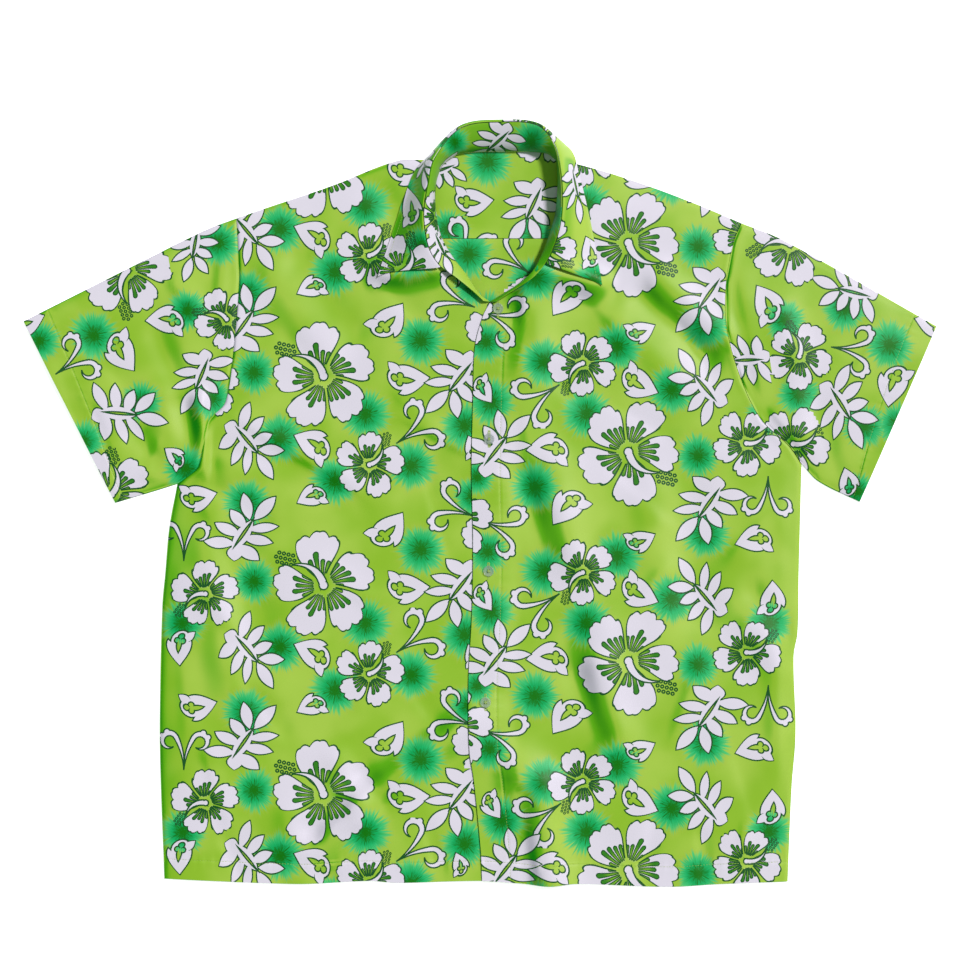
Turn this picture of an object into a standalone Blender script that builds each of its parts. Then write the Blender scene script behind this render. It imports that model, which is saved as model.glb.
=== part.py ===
"""Short-sleeved hawaiian shirt, laid flat on its back and buttoned to the neck.

The origin lies under the middle of the shirt, +Y runs to the collar and +Z is up.
Sizes and tables are in millimetres, and make_object turns them into metres.
"Left" and "right" name the wearer's sides, so the left front lies at +X.
"""

import math
from collections import namedtuple

import bmesh
import bpy
from mathutils import Vector

MM = 0.001

# Driving dimensions
WALL = 1.2                # thickness of the cloth
SEAM_GAP = 0.3            # clearance between two pieces at a seam
OVERLAP = 32.0            # width of the button stand, where the fronts lie on each other
OVERLAP_FADE = 20.0       # the upper front settles back over this width beside the stand
YOKE_SEAM_Y = 279.3       # seam between the yoke and the back
BACK_HEM_INSET = 2.0      # the back's hem lies this far inside the fronts'
BUTTON_DIAMETER = 11.5
BUTTON_THICKNESS = 2.6
BUTTON_RIM = 1.4
BUTTON_DISH = 0.6
LAID_EDGE = 2 * WALL + SEAM_GAP   # top of the cloth where two layers meet at a closed seam
BAND_CLEARANCE = 0.45     # the band stands this far above the sloping rim of the neck
KNEE_SHARE = 0.6          # share of its height that the band rises before it leans out

# Air between the layers
BODY_LOFT = 3.6
CHEST_LOFT = 3.0
CHEST_CENTRE = (15.0, 215.0)
CHEST_REACH = 150.0
SEAM_REACH = 26.0         # distance in which the cloth rises from a closed seam
HEM_LOFT_SHARE = 0.55     # share of the loft left at the hem
HEM_REACH = 90.0

# Rows and columns of the panels
ROWS_SIDE = 22            # hem to armpit
ROWS_STAND = 8            # armpit to the foot of the neckline
ROWS_NECK = 8             # foot of the neckline to the shoulder
ROWS_ARMHOLE = ROWS_STAND + ROWS_NECK
COLUMNS_STAND = 4
COLUMNS_FRONT = 17
COLUMNS_BACK = 10
COLUMNS_SHOULDER = 8
COLUMNS_NECK = 8
ROWS_YOKE = 3
ROWS_SLEEVE = 12
SECTIONS_COLLAR = 44
STEPS_BAND = 4
STEPS_LEAF = 8

Point = namedtuple("Point", "x y")
Fold = namedtuple("Fold", "x0 y0 x1 y1 reach rise")
CollarSection = namedtuple("CollarSection", "along crest_x crest_y crest_z")
LeafSection = namedtuple("LeafSection", "along edge_x edge_y tip_rise hang")

# Outline of the laid shirt, each edge from the armpit, shoulder or neck outwards or down
SHOULDER_RIGHT = [Point(-34.7, 361.2), Point(-64.0, 362.0), Point(-89.3, 360.2), Point(-157.5, 333.9),
                  Point(-225.8, 310.8), Point(-256.2, 300.3)]
SLEEVE_TOP_RIGHT = [Point(-256.2, 300.3), Point(-286.7, 288.8), Point(-346.5, 259.4), Point(-479.9, 192.2)]
SLEEVE_UNDER_RIGHT = [Point(-318.2, 21.0), Point(-341.3, 13.7), Point(-383.3, 1.1)]
SIDE_RIGHT = [Point(-331.8, -393.8), Point(-336.0, -278.3), Point(-336.5, -219.5), Point(-333.9, -107.1),
              Point(-330.8, -72.5), Point(-326.6, -25.2), Point(-318.2, 21.0)]
ARMHOLE_RIGHT = [Point(-318.2, 21.0), Point(-296.1, 38.9), Point(-284.6, 87.2), Point(-267.8, 106.1),
                 Point(-259.4, 157.5), Point(-253.1, 237.3), Point(-256.2, 300.3)]
SHOULDER_LEFT = [Point(80.9, 361.2), Point(99.8, 358.1), Point(153.3, 342.3), Point(217.4, 319.2),
                 Point(275.1, 295.1)]
SLEEVE_TOP_LEFT = [Point(275.1, 295.1), Point(319.2, 277.2), Point(479.9, 186.9)]
SLEEVE_UNDER_LEFT = [Point(338.1, 42.0), Point(354.9, 24.2), Point(399.0, 2.1)]
SIDE_LEFT = [Point(323.4, -396.9), Point(327.6, -299.3), Point(331.8, -240.5), Point(329.8, -160.0),
             Point(333.9, -135.0), Point(335.0, -77.7), Point(336.5, -18.9), Point(338.1, 42.0)]
ARMHOLE_LEFT = [Point(338.1, 42.0), Point(324.0, 62.0), Point(296.0, 88.0), Point(275.1, 129.2),
                Point(259.4, 182.7), Point(258.3, 230.0), Point(266.7, 275.1), Point(275.1, 295.1)]
HEM = [Point(-331.8, -393.8), Point(-235.2, -398.0), Point(-178.5, -399.0), Point(-116.6, -395.9),
       Point(-87.2, -398.0), Point(0.0, -395.9), Point(35.7, -398.0), Point(71.4, -401.1),
       Point(100.8, -399.0), Point(198.5, -402.2), Point(257.3, -399.0), Point(323.4, -396.9)]

# Free edge of the upper front, and the neckline of each front and of the yoke
STAND_EDGE = [Point(2.1, -396.9), Point(0.5, -362.3), Point(-6.6, -289.8), Point(-11.2, -258.3),
              Point(-12.1, -184.8), Point(-8.4, -111.3), Point(-7.4, -37.8), Point(-8.9, 35.7),
              Point(-7.4, 109.2), Point(-5.3, 164.9), Point(3.2, 197.4), Point(10.8, 212.0)]
NECK_RIGHT = [Point(9.6, 212.0), Point(-1.0, 220.5), Point(-14.7, 240.5), Point(-29.4, 259.4),
              Point(-41.0, 280.4), Point(-46.5, 305.0), Point(-46.8, 335.0), Point(-41.0, 354.0),
              Point(-34.7, 361.2)]
NECK_LEFT = [Point(10.8, 212.0), Point(28.4, 222.6), Point(43.1, 232.1), Point(55.7, 243.6),
             Point(67.0, 266.0), Point(78.8, 302.4), Point(81.9, 335.0), Point(80.9, 361.2)]
NECK_BACK = [Point(-34.7, 361.2), Point(-20.0, 369.0), Point(29.4, 370.7), Point(70.0, 369.0), Point(80.9, 361.2)]

# Largest folds of the upper layer: a soft trough or ridge from (x0, y0) to (x1, y1)
FOLDS = [
    Fold(171.0, 216.0, 238.0, 154.0, 14.0, -3.0),
    Fold(188.0, 238.0, 258.0, 176.0, 17.0, 4.0),
    Fold(150.0, 190.0, 205.0, 132.0, 16.0, 2.0),
    Fold(46.0, -306.0, 52.0, -398.0, 11.0, -3.0),
    Fold(70.0, -290.0, 80.0, -398.0, 15.0, 4.0),
    Fold(101.0, -181.0, 124.0, -240.0, 14.0, -2.6),
    Fold(128.0, -170.0, 150.0, -250.0, 17.0, 3.0),
    Fold(46.0, 25.0, 71.0, -48.0, 14.0, -2.6),
    Fold(78.0, 40.0, 100.0, -60.0, 18.0, 2.5),
    Fold(290.0, -95.0, 332.0, -140.0, 13.0, -2.6),
    Fold(285.0, -130.0, 325.0, -175.0, 16.0, 3.0),
    Fold(42.0, 190.0, 52.0, 143.0, 12.0, -2.4),
    Fold(-123.0, -285.0, -102.0, -314.0, 13.0, -2.6),
    Fold(-150.0, -270.0, -128.0, -330.0, 16.0, 2.5),
    Fold(-178.0, -343.0, -162.0, -388.0, 14.0, -3.0),
    Fold(-200.0, -330.0, -190.0, -390.0, 16.0, 2.6),
    Fold(-105.0, 330.0, -84.0, 298.0, 16.0, -2.4),
    Fold(-189.0, 256.0, -137.0, 183.0, 18.0, -2.6),
    Fold(-215.0, 235.0, -160.0, 150.0, 18.0, 2.8),
    Fold(-310.0, 101.0, -290.0, 44.0, 13.0, -3.0),
    Fold(-330.0, 110.0, -315.0, 50.0, 14.0, 4.0),
    Fold(-358.0, 72.0, -341.0, 44.0, 12.0, -2.5),
    Fold(-338.0, 176.0, -324.0, 143.0, 14.0, -2.4),
    Fold(345.0, 120.0, 370.0, 36.0, 14.0, -2.6),
    Fold(318.0, 200.0, 345.0, 80.0, 18.0, 3.2),
    Fold(-260.0, -30.0, -230.0, -150.0, 22.0, -2.2),
    Fold(-290.0, -40.0, -262.0, -190.0, 22.0, 2.6),
    Fold(215.0, 20.0, 236.0, -120.0, 24.0, -2.2),
    Fold(180.0, 10.0, 195.0, -130.0, 24.0, 2.4),
]

# Crest of the collar's roll, from its right front end round the back to the left front end
COLLAR = [
    CollarSection(0.00, 3.5, 212.5, 15.0),
    CollarSection(0.04, -8.4, 223.5, 16.5),
    CollarSection(0.09, -25.2, 237.0, 18.5),
    CollarSection(0.14, -41.0, 248.5, 20.5),
    CollarSection(0.20, -52.5, 266.0, 23.0),
    CollarSection(0.26, -57.5, 288.0, 25.0),
    CollarSection(0.32, -58.0, 311.0, 27.0),
    CollarSection(0.37, -54.0, 334.0, 28.5),
    CollarSection(0.41, -46.5, 362.0, 28.5),
    CollarSection(0.45, -20.0, 392.0, 26.0),
    CollarSection(0.50, 22.0, 398.5, 24.5),
    CollarSection(0.55, 60.0, 395.0, 26.0),
    CollarSection(0.59, 80.0, 374.0, 30.0),
    CollarSection(0.63, 87.0, 347.0, 32.0),
    CollarSection(0.68, 89.5, 319.0, 30.5),
    CollarSection(0.74, 87.0, 292.0, 28.0),
    CollarSection(0.80, 80.5, 271.0, 25.5),
    CollarSection(0.86, 70.5, 252.0, 23.0),
    CollarSection(0.91, 55.0, 236.5, 20.5),
    CollarSection(0.96, 32.0, 222.0, 18.0),
    CollarSection(1.00, 16.0, 211.5, 16.0),
]

# Outer edge of the leaf: it rests tip_rise above what is below, and leaves it along hang
LEAF = [
    LeafSection(0.14, -107.0, 238.0, 1.4, -12.0),
    LeafSection(0.20, -102.0, 254.0, 1.4, -12.0),
    LeafSection(0.26, -96.0, 272.0, 1.4, -11.0),
    LeafSection(0.32, -88.0, 297.0, 1.4, -10.0),
    LeafSection(0.37, -78.0, 326.0, 1.4, -8.0),
    LeafSection(0.41, -62.0, 358.0, 1.6, -3.0),
    LeafSection(0.45, -20.0, 386.0, 1.0, 10.0),
    LeafSection(0.50, 22.0, 381.0, 1.0, 22.0),
    LeafSection(0.55, 62.0, 386.0, 1.0, 10.0),
    LeafSection(0.59, 94.0, 373.0, 4.0, 0.0),
    LeafSection(0.63, 104.0, 346.0, 2.6, -6.0),
    LeafSection(0.68, 111.0, 318.0, 1.4, -8.0),
    LeafSection(0.74, 118.0, 286.0, 1.4, -9.0),
    LeafSection(0.80, 123.0, 257.0, 1.4, -11.0),
    LeafSection(0.86, 128.0, 229.0, 1.4, -12.0),
]

BUTTONS = [Point(18.9, 205.0), Point(9.5, 68.3), Point(8.9, -70.4), Point(5.8, -207.9)]


def smooth_value(xs, ys, x):
    """Read a smooth curve through the points (xs, ys) at x, with xs rising."""
    last = len(xs) - 1
    i = 0
    while i < last - 1 and x > xs[i + 1]:
        i += 1
    span = xs[i + 1] - xs[i]
    t = min(max((x - xs[i]) / span, 0.0), 1.0)

    def slope(k):
        before = max(k - 1, 0)
        after = min(k + 1, last)
        return (ys[after] - ys[before]) / (xs[after] - xs[before])

    a = 2 * t ** 3 - 3 * t ** 2 + 1
    b = t ** 3 - 2 * t ** 2 + t
    c = 3 * t ** 2 - 2 * t ** 3
    d = t ** 3 - t ** 2
    return a * ys[i] + b * span * slope(i) + c * ys[i + 1] + d * span * slope(i + 1)


def x_at(edge, y):
    """The x of an edge that rises in y."""
    rows = sorted(edge, key=lambda p: p.y)
    return smooth_value([p.y for p in rows], [p.x for p in rows], y)


def y_at(edge, x):
    """The y of an edge that runs in x."""
    rows = sorted(edge, key=lambda p: p.x)
    return smooth_value([p.x for p in rows], [p.y for p in rows], x)


def column(table, name, along):
    """Read one column of a table of sections at a place along the collar."""
    return smooth_value([row.along for row in table], [getattr(row, name) for row in table], along)


def spread(start, end, count, power=1.0):
    """count + 1 values from start to end, closer at the start where power is over 1."""
    return [start + (end - start) * (i / count) ** power for i in range(count + 1)]


def smooth_step(t):
    t = min(max(t, 0.0), 1.0)
    return t * t * (3 - 2 * t)


def distance_to_segment(x, y, a, b):
    dx, dy = b[0] - a[0], b[1] - a[1]
    t = ((x - a[0]) * dx + (y - a[1]) * dy) / (dx * dx + dy * dy)
    t = min(max(t, 0.0), 1.0)
    return math.hypot(x - a[0] - t * dx, y - a[1] - t * dy)


CLOSED_SEAMS = [SHOULDER_RIGHT, SLEEVE_TOP_RIGHT, SLEEVE_UNDER_RIGHT, SIDE_RIGHT,
                SHOULDER_LEFT, SLEEVE_TOP_LEFT, SLEEVE_UNDER_LEFT, SIDE_LEFT]


def seam_distance(x, y):
    """Distance to the nearest edge where the upper and the lower layer are joined."""
    return min(distance_to_segment(x, y, a, b) for seam in CLOSED_SEAMS for a, b in zip(seam, seam[1:]))


def upper_height(x, y):
    """Top of the upper layer of cloth, over the fronts and the sleeves."""
    loft = BODY_LOFT
    loft += CHEST_LOFT * math.exp(-(math.hypot(x - CHEST_CENTRE[0], y - CHEST_CENTRE[1]) / CHEST_REACH) ** 2)
    for fold in FOLDS:
        away = distance_to_segment(x, y, (fold.x0, fold.y0), (fold.x1, fold.y1))
        loft += fold.rise * math.exp(-(away / fold.reach) ** 2)
    above_hem = y - y_at(HEM, min(max(x, HEM[0].x), HEM[-1].x))
    loft *= HEM_LOFT_SHARE + (1 - HEM_LOFT_SHARE) * smooth_step(above_hem / HEM_REACH)
    rise = 1 - math.exp(-seam_distance(x, y) / SEAM_REACH)
    return LAID_EDGE + max(loft, 0.4) * rise


def stand_lift(x, y):
    """How far the upper front lies above the common surface beside and on the button stand."""
    beside = x - x_at(STAND_EDGE, min(y, STAND_EDGE[-1].y)) - OVERLAP
    above_stand = (y - STAND_EDGE[-1].y) / OVERLAP_FADE
    full = WALL + SEAM_GAP + 0.1
    return full * (1 - smooth_step(beside / OVERLAP_FADE)) * (1 - smooth_step(above_stand))


def front_left_height(x, y):
    return upper_height(x, y) + stand_lift(x, y)


def slope_factor(height, x, y):
    """Length of a vertical wall that is one unit thick across a slope."""
    step = 0.5
    dx = (height(x + step, y) - height(x - step, y)) / (2 * step)
    dy = (height(x, y + step) - height(x, y - step)) / (2 * step)
    return math.sqrt(1 + dx * dx + dy * dy)


def cloth_material(name, colour):
    material = bpy.data.materials.new(name)
    material.use_nodes = True
    shader = material.node_tree.nodes["Principled BSDF"]
    shader.inputs["Base Color"].default_value = (*colour, 1.0)
    shader.inputs["Roughness"].default_value = 0.45
    shader.inputs["Metallic"].default_value = 0.0
    return material


def make_object(name, mesh_builder, material, smooth=True):
    """Finish a bmesh in millimetres as an object in metres."""
    bmesh.ops.scale(mesh_builder, vec=(MM, MM, MM), verts=mesh_builder.verts)
    bmesh.ops.recalc_face_normals(mesh_builder, faces=mesh_builder.faces)
    mesh = bpy.data.meshes.new(name)
    mesh_builder.to_mesh(mesh)
    mesh_builder.free()
    mesh.materials.append(material)
    if smooth:
        mesh.shade_smooth()
        mesh.set_sharp_from_angle(angle=math.radians(40))
    thing = bpy.data.objects.new(name, mesh)
    bpy.context.scene.collection.objects.link(thing)
    return thing


def skin(grid):
    """A bmesh surface over a grid of points; a point that is None leaves its cells out."""
    surface = bmesh.new()
    verts = [[surface.verts.new(p) if p is not None else None for p in row] for row in grid]
    for lower, upper in zip(verts, verts[1:]):
        for a, b, c, d in zip(lower, lower[1:], upper[1:], upper):
            if None not in (a, b, c, d):
                surface.faces.new((a, b, c, d))
    surface.normal_update()
    return surface


def wall_below(grid, height):
    """Give a laid panel its thickness, straight down from its upper surface."""
    surface = skin(grid)
    bmesh.ops.triangulate(surface, faces=surface.faces[:], quad_method="SHORT_EDGE")
    extruded = bmesh.ops.extrude_face_region(surface, geom=surface.faces[:], use_keep_orig=True)
    for vert in extruded["geom"]:
        if isinstance(vert, bmesh.types.BMVert):
            vert.co.z -= WALL * slope_factor(height, vert.co.x, vert.co.y)
    return surface


def wall_about(grid):
    """Give a standing piece its thickness, half to each side of its middle surface."""
    surface = skin(grid)
    half = {vert: vert.normal * (WALL / 2) for vert in surface.verts}
    middle = {tuple(vert.co): offset for vert, offset in half.items()}
    extruded = bmesh.ops.extrude_face_region(surface, geom=surface.faces[:], use_keep_orig=True)
    moved = [vert for vert in extruded["geom"] if isinstance(vert, bmesh.types.BMVert)]
    for vert in moved:
        vert.co -= middle[tuple(vert.co)]
    for vert, offset in half.items():
        vert.co += offset
    return surface


def shared_stations():
    """The y of each row on the armholes and along the necklines."""
    return {
        "armhole_right": spread(ARMHOLE_RIGHT[0].y, ARMHOLE_RIGHT[-1].y, ROWS_ARMHOLE),
        "armhole_left": spread(ARMHOLE_LEFT[0].y, ARMHOLE_LEFT[-1].y, ROWS_ARMHOLE),
        "neck": spread(NECK_LEFT[0].y, NECK_LEFT[-1].y, ROWS_NECK, 1.5),
    }


STATIONS = shared_stations()


def armhole_points(side):
    """The armhole's corners; the panels and the sleeve share them, half a gap apart."""
    edge, rows = (ARMHOLE_RIGHT, STATIONS["armhole_right"]) if side < 0 else (ARMHOLE_LEFT, STATIONS["armhole_left"])
    return [Vector((x_at(edge, y), y, 0)) for y in rows]


def shifted(points, distance):
    """Move a line of points sideways in plan, to its right for a positive distance."""
    moved = []
    for i, point in enumerate(points):
        along = points[min(i + 1, len(points) - 1)] - points[max(i - 1, 0)]
        sideways = Vector((along.y, -along.x, 0)).normalized()
        moved.append(point + sideways * distance)
    return moved


def row_between(start, end, count):
    """Points from start to end in plan, without the start."""
    return [start.lerp(end, i / count) for i in range(1, count + 1)]


def straight_y(edge, x):
    """The y at x of the straight line between an edge's ends."""
    first, last = edge[0], edge[-1]
    return first.y + (last.y - first.y) * (x - first.x) / (last.x - first.x)


def front_rows():
    """The y of each row at the middle of the front."""
    side = spread(STAND_EDGE[0].y, 25.0, ROWS_SIDE)
    stand = spread(25.0, STAND_EDGE[-1].y, ROWS_STAND)
    return side + stand[1:] + STATIONS["neck"][1:]


def outer_edge(side):
    """The side seam and the armhole of a panel, one point for each row."""
    seam = SIDE_RIGHT if side < 0 else SIDE_LEFT
    low = [Vector((x_at(seam, y), y, 0)) for y in spread(seam[0].y, seam[-1].y, ROWS_SIDE)]
    arm = shifted(armhole_points(side), -SEAM_GAP / 2 * side)
    return low[:-1] + [low[-1].lerp(arm[0], 0.5)] + arm[1:]


def make_front(name, side, material):
    """One front, from its free edge and neckline out to the side seam and the armhole."""
    height = upper_height if side < 0 else front_left_height
    neck = NECK_RIGHT if side < 0 else NECK_LEFT
    shoulder = SHOULDER_RIGHT if side < 0 else SHOULDER_LEFT
    outer = outer_edge(side)
    grid = []
    for i, (y, out) in enumerate(zip(front_rows(), outer)):
        at_stand = i <= ROWS_SIDE + ROWS_STAND
        y = y_at(HEM, x_at(STAND_EDGE, y)) if i == 0 else y
        first = x_at(STAND_EDGE, y) if at_stand else x_at(neck, y)
        if side > 0:
            row = [Vector((first + x, y, 0)) for x in spread(0, OVERLAP, COLUMNS_STAND)]
        elif at_stand:
            row = [Vector((first + x, y, 0)) for x in spread(OVERLAP, 0, COLUMNS_STAND)]
        else:
            row = [None] * COLUMNS_STAND + [Vector((first, y, 0))]
        inner = row[-1]
        row += row_between(inner, out, COLUMNS_FRONT)
        if i == 0:
            row = [Vector((p.x, y_at(HEM, p.x), 0)) for p in row]
        bow = (max(i - ROWS_SIDE - ROWS_STAND, 0) / ROWS_NECK) ** 2
        for p in row[COLUMNS_STAND + 1:-1]:
            p.y += bow * (y_at(shoulder, p.x) - straight_y(shoulder, p.x))
        grid.append([p and Vector((p.x, p.y, height(p.x, p.y))) for p in row])
    return make_object(name, wall_below(grid, height), material)


def flat_height(x, y):
    return WALL


def make_back(material):
    """The back below the yoke, flat on the surface."""
    right, left = outer_edge(-1), outer_edge(1)
    seam_y = YOKE_SEAM_Y - SEAM_GAP / 2

    def cut_at(edge):
        kept = [p for p in edge if p.y < seam_y - 4]
        beyond = edge[len(kept)]
        last = kept[-1].lerp(beyond, (seam_y - kept[-1].y) / (beyond.y - kept[-1].y))
        return kept + [last]

    right, left = cut_at(right), cut_at(left)
    rows = min(len(right), len(left))
    right = right[:rows - 1] + right[-1:]
    left = left[:rows - 1] + left[-1:]
    grid = []
    for a, b in zip(right, left):
        row = [a.lerp(b, t) for t in spread(0, 1, COLUMNS_BACK)]
        grid.append([Vector((p.x, p.y, WALL)) for p in row])
    for point in grid[0]:
        point.y = y_at(HEM, point.x) + BACK_HEM_INSET
    return make_object("back", wall_below(grid, flat_height), material)


def make_yoke(material):
    """The yoke, from its seam up to the shoulders and the back of the neck."""
    seam_y = YOKE_SEAM_Y + SEAM_GAP / 2
    arm_right = shifted(armhole_points(-1), SEAM_GAP / 2)
    arm_left = shifted(armhole_points(1), -SEAM_GAP / 2)
    top = [Point(arm_right[-1].x, arm_right[-1].y)]
    for x in spread(SHOULDER_RIGHT[-1].x, SHOULDER_RIGHT[0].x, COLUMNS_SHOULDER)[1:]:
        top.append(Point(x, y_at(SHOULDER_RIGHT, x)))
    for x in spread(NECK_BACK[0].x, NECK_BACK[-1].x, COLUMNS_NECK)[1:-1]:
        top.append(Point(x, y_at(NECK_BACK, x)))
    for x in spread(SHOULDER_LEFT[0].x, SHOULDER_LEFT[-1].x, COLUMNS_SHOULDER)[:-1]:
        top.append(Point(x, y_at(SHOULDER_LEFT, x)))
    top.append(Point(arm_left[-1].x, arm_left[-1].y))

    def on_armhole(points):
        for a, b in zip(points, points[1:]):
            if a.y <= seam_y <= b.y:
                return a.lerp(b, (seam_y - a.y) / (b.y - a.y)).x

    first, last = on_armhole(arm_right), on_armhole(arm_left)
    grid = []
    for t in spread(0, 1, ROWS_YOKE):
        row = []
        for i, p in enumerate(top):
            x = first if i == 0 else last if i == len(top) - 1 else p.x
            row.append(Vector((x + (p.x - x) * t, seam_y + (p.y - seam_y) * t, WALL)))
        grid.append(row)
    return make_object("yoke", wall_below(grid, flat_height), material)


def edge_points(edge, count):
    """Points spread evenly in x along an edge, in the edge's own order."""
    return [Vector((x, y_at(edge, x), 0)) for x in spread(edge[0].x, edge[-1].x, count)]


def length_shares(points):
    """How far along a line of points each point lies, from 0 to 1."""
    lengths = [0.0]
    for a, b in zip(points, points[1:]):
        lengths.append(lengths[-1] + (b - a).length)
    return [length / lengths[-1] for length in lengths]


def make_sleeve(name, side, material):
    """A sleeve as a flattened tube, open at the armhole and at the cuff."""
    top_edge = edge_points(SLEEVE_TOP_RIGHT if side < 0 else SLEEVE_TOP_LEFT, ROWS_SLEEVE)
    under_edge = edge_points(SLEEVE_UNDER_RIGHT if side < 0 else SLEEVE_UNDER_LEFT, ROWS_SLEEVE)
    armhole = shifted(armhole_points(side), SEAM_GAP / 2 * side)
    shares = length_shares(armhole)
    cuff = [under_edge[-1].lerp(top_edge[-1], share) for share in shares]
    tube = bmesh.new()
    rings = []
    for i in range(ROWS_SLEEVE + 1):
        t = i / ROWS_SLEEVE
        across = []
        for j in range(ROWS_ARMHOLE + 1):
            s = shares[j]
            ends = armhole[j].lerp(cuff[j], t)
            edges = under_edge[i].lerp(top_edge[i], s)
            corners = under_edge[0].lerp(top_edge[0], s).lerp(under_edge[-1].lerp(top_edge[-1], s), t)
            across.append(ends + edges - corners)
        inside = list(across)
        inside[0] = across[0] + (across[1] - across[0]).normalized() * WALL
        inside[-1] = across[-1] + (across[-2] - across[-1]).normalized() * WALL
        outer = [Vector((p.x, p.y, 0)) for p in across]
        outer += [Vector((p.x, p.y, upper_height(p.x, p.y))) for p in reversed(across)]
        inner = [Vector((p.x, p.y, WALL)) for p in inside]
        for p, q in zip(reversed(inside), reversed(across)):
            thick = WALL * slope_factor(upper_height, p.x, p.y)
            inner.append(Vector((p.x, p.y, max(upper_height(q.x, q.y) - thick, WALL + SEAM_GAP))))
        rings.append([[tube.verts.new(p) for p in loop] for loop in (outer, inner)])

    def bridge(one, two):
        for a, b, c, d in zip(one, one[1:] + one[:1], two[1:] + two[:1], two):
            tube.faces.new((a, b, c, d))

    for near, far in zip(rings, rings[1:]):
        bridge(near[0], far[0])
        bridge(far[1], near[1])
    bridge(rings[0][1], rings[0][0])
    bridge(rings[-1][0], rings[-1][1])
    bmesh.ops.triangulate(tube, faces=tube.faces[:], quad_method="SHORT_EDGE")
    return make_object(name, tube, material)


def crest_point(along):
    return Vector([column(COLLAR, name, along) for name in ("crest_x", "crest_y", "crest_z")])


def crest_outward(along):
    """The direction out of the neck at a place on the crest, in plan."""
    step = 0.01
    run = crest_point(min(along + step, 1.0)) - crest_point(max(along - step, 0.0))
    return Vector((-run.y, run.x, 0)).normalized()


def neck_seam():
    """Points on the rim of the neck with the height of the cloth there, from right front to left front."""
    right = [Vector((x_at(NECK_RIGHT, y), y, 0)) for y in STATIONS["neck"]]
    back = [Vector((x, y_at(NECK_BACK, x), WALL)) for x in spread(NECK_BACK[0].x, NECK_BACK[-1].x, COLUMNS_NECK)]
    left = [Vector((x_at(NECK_LEFT, y), y, 0)) for y in reversed(STATIONS["neck"])]
    for p in right:
        p.z = upper_height(p.x, p.y)
    for p in left:
        p.z = front_left_height(p.x, p.y)
    return right + back[1:-1] + left


def bezier(points, t):
    """A point of the curve that the control points give."""
    while len(points) > 1:
        points = [a.lerp(b, t) for a, b in zip(points, points[1:])]
    return points[0]


def along_crest(point):
    """The place on the crest that is nearest to a point of the neck seam, in plan."""
    places = spread(0, 1, 200)
    return min(places, key=lambda a: (crest_point(a).xy - point.xy).length)


def make_band(material):
    """The collar band, which stands on the rim of the neck and leans out to the crest."""
    seam = neck_seam()
    last = len(seam) - 1
    grid = []
    for i, rim in enumerate(seam):
        foot = rim + Vector((0, 0, BAND_CLEARANCE))
        crest = crest_point({0: 0.0, last: 1.0}.get(i, along_crest(rim)))
        knee = foot + Vector((0, 0, (crest.z - foot.z) * KNEE_SHARE))
        grid.append([bezier([foot, knee, crest], t) for t in spread(0, 1, STEPS_BAND)])
    return make_object("collar_band", wall_about(grid), material)


def resting_height(x, y):
    """What the leaf lies on: the fronts, or the surface past the shoulders."""
    over = SHOULDER_RIGHT if x < NECK_BACK[0].x else SHOULDER_LEFT if x > NECK_BACK[-1].x else NECK_BACK
    if y <= y_at(over, x):
        return upper_height(x, y)
    return LAID_EDGE * (1 - smooth_step((seam_distance(x, y) - 3.0) / 8.0))


def make_leaf(material):
    """The collar leaf, which rolls over the crest, lies on the fronts and tucks under at the back."""
    grid = []
    for along in spread(LEAF[0].along, LEAF[-1].along, SECTIONS_COLLAR):
        outward = crest_outward(along)
        crest = crest_point(along)
        start = crest + outward * 0.8 + Vector((0, 0, 0.9))
        edge = Vector((column(LEAF, "edge_x", along), column(LEAF, "edge_y", along), 0))
        edge.z = resting_height(edge.x, edge.y) + column(LEAF, "tip_rise", along)
        roll = start + outward * 4.0 + Vector((0, 0, 1.5))
        hang = edge + outward * column(LEAF, "hang", along) + Vector((0, 0, 1.0))
        grid.append([bezier([start, roll, hang, edge], t) for t in spread(0, 1, STEPS_LEAF)])
    return make_object("collar_leaf", wall_about(grid), material)


def make_button(name, place, material):
    """A flat button with a raised rim, turned about its own axis."""
    radius = BUTTON_DIAMETER / 2
    base = max(front_left_height(place.x + dx, place.y + dy)
               for dx in (-radius, 0, radius) for dy in (-radius, 0, radius)) + SEAM_GAP
    top = base + BUTTON_THICKNESS
    profile = [(0, base), (radius - 0.8, base), (radius, base + 0.8), (radius, top - 0.5), (radius - 0.5, top),
               (radius - BUTTON_RIM, top), (radius - BUTTON_RIM - 0.6, top - BUTTON_DISH), (0, top - BUTTON_DISH)]
    disc = bmesh.new()
    verts = [disc.verts.new((r, 0, z)) for r, z in profile]
    edges = [disc.edges.new(pair) for pair in zip(verts, verts[1:])]
    bmesh.ops.spin(disc, geom=verts + edges, axis=(0, 0, 1), cent=(0, 0, 0), steps=16,
                   angle=math.tau, use_merge=True, use_duplicate=False)
    bmesh.ops.remove_doubles(disc, verts=disc.verts, dist=0.001)
    bmesh.ops.translate(disc, vec=(place.x, place.y, 0), verts=disc.verts)
    return make_object(name, disc, material)


def main():
    for thing in list(bpy.data.objects):
        bpy.data.objects.remove(thing)
    lime = cloth_material("lime_print_cloth", (0.36, 0.60, 0.04))
    shade = cloth_material("lime_print_cloth_inside", (0.28, 0.52, 0.04))
    shell = cloth_material("button_plastic", (0.75, 0.80, 0.66))
    make_back(shade)
    make_yoke(shade)
    make_front("front_right", -1, lime)
    make_front("front_left", 1, lime)
    make_sleeve("sleeve_right", -1, lime)
    make_sleeve("sleeve_left", 1, lime)
    make_band(shade)
    make_leaf(lime)
    for number, place in enumerate(BUTTONS, 1):
        make_button(f"button_{number}", place, shell)


main()
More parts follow.
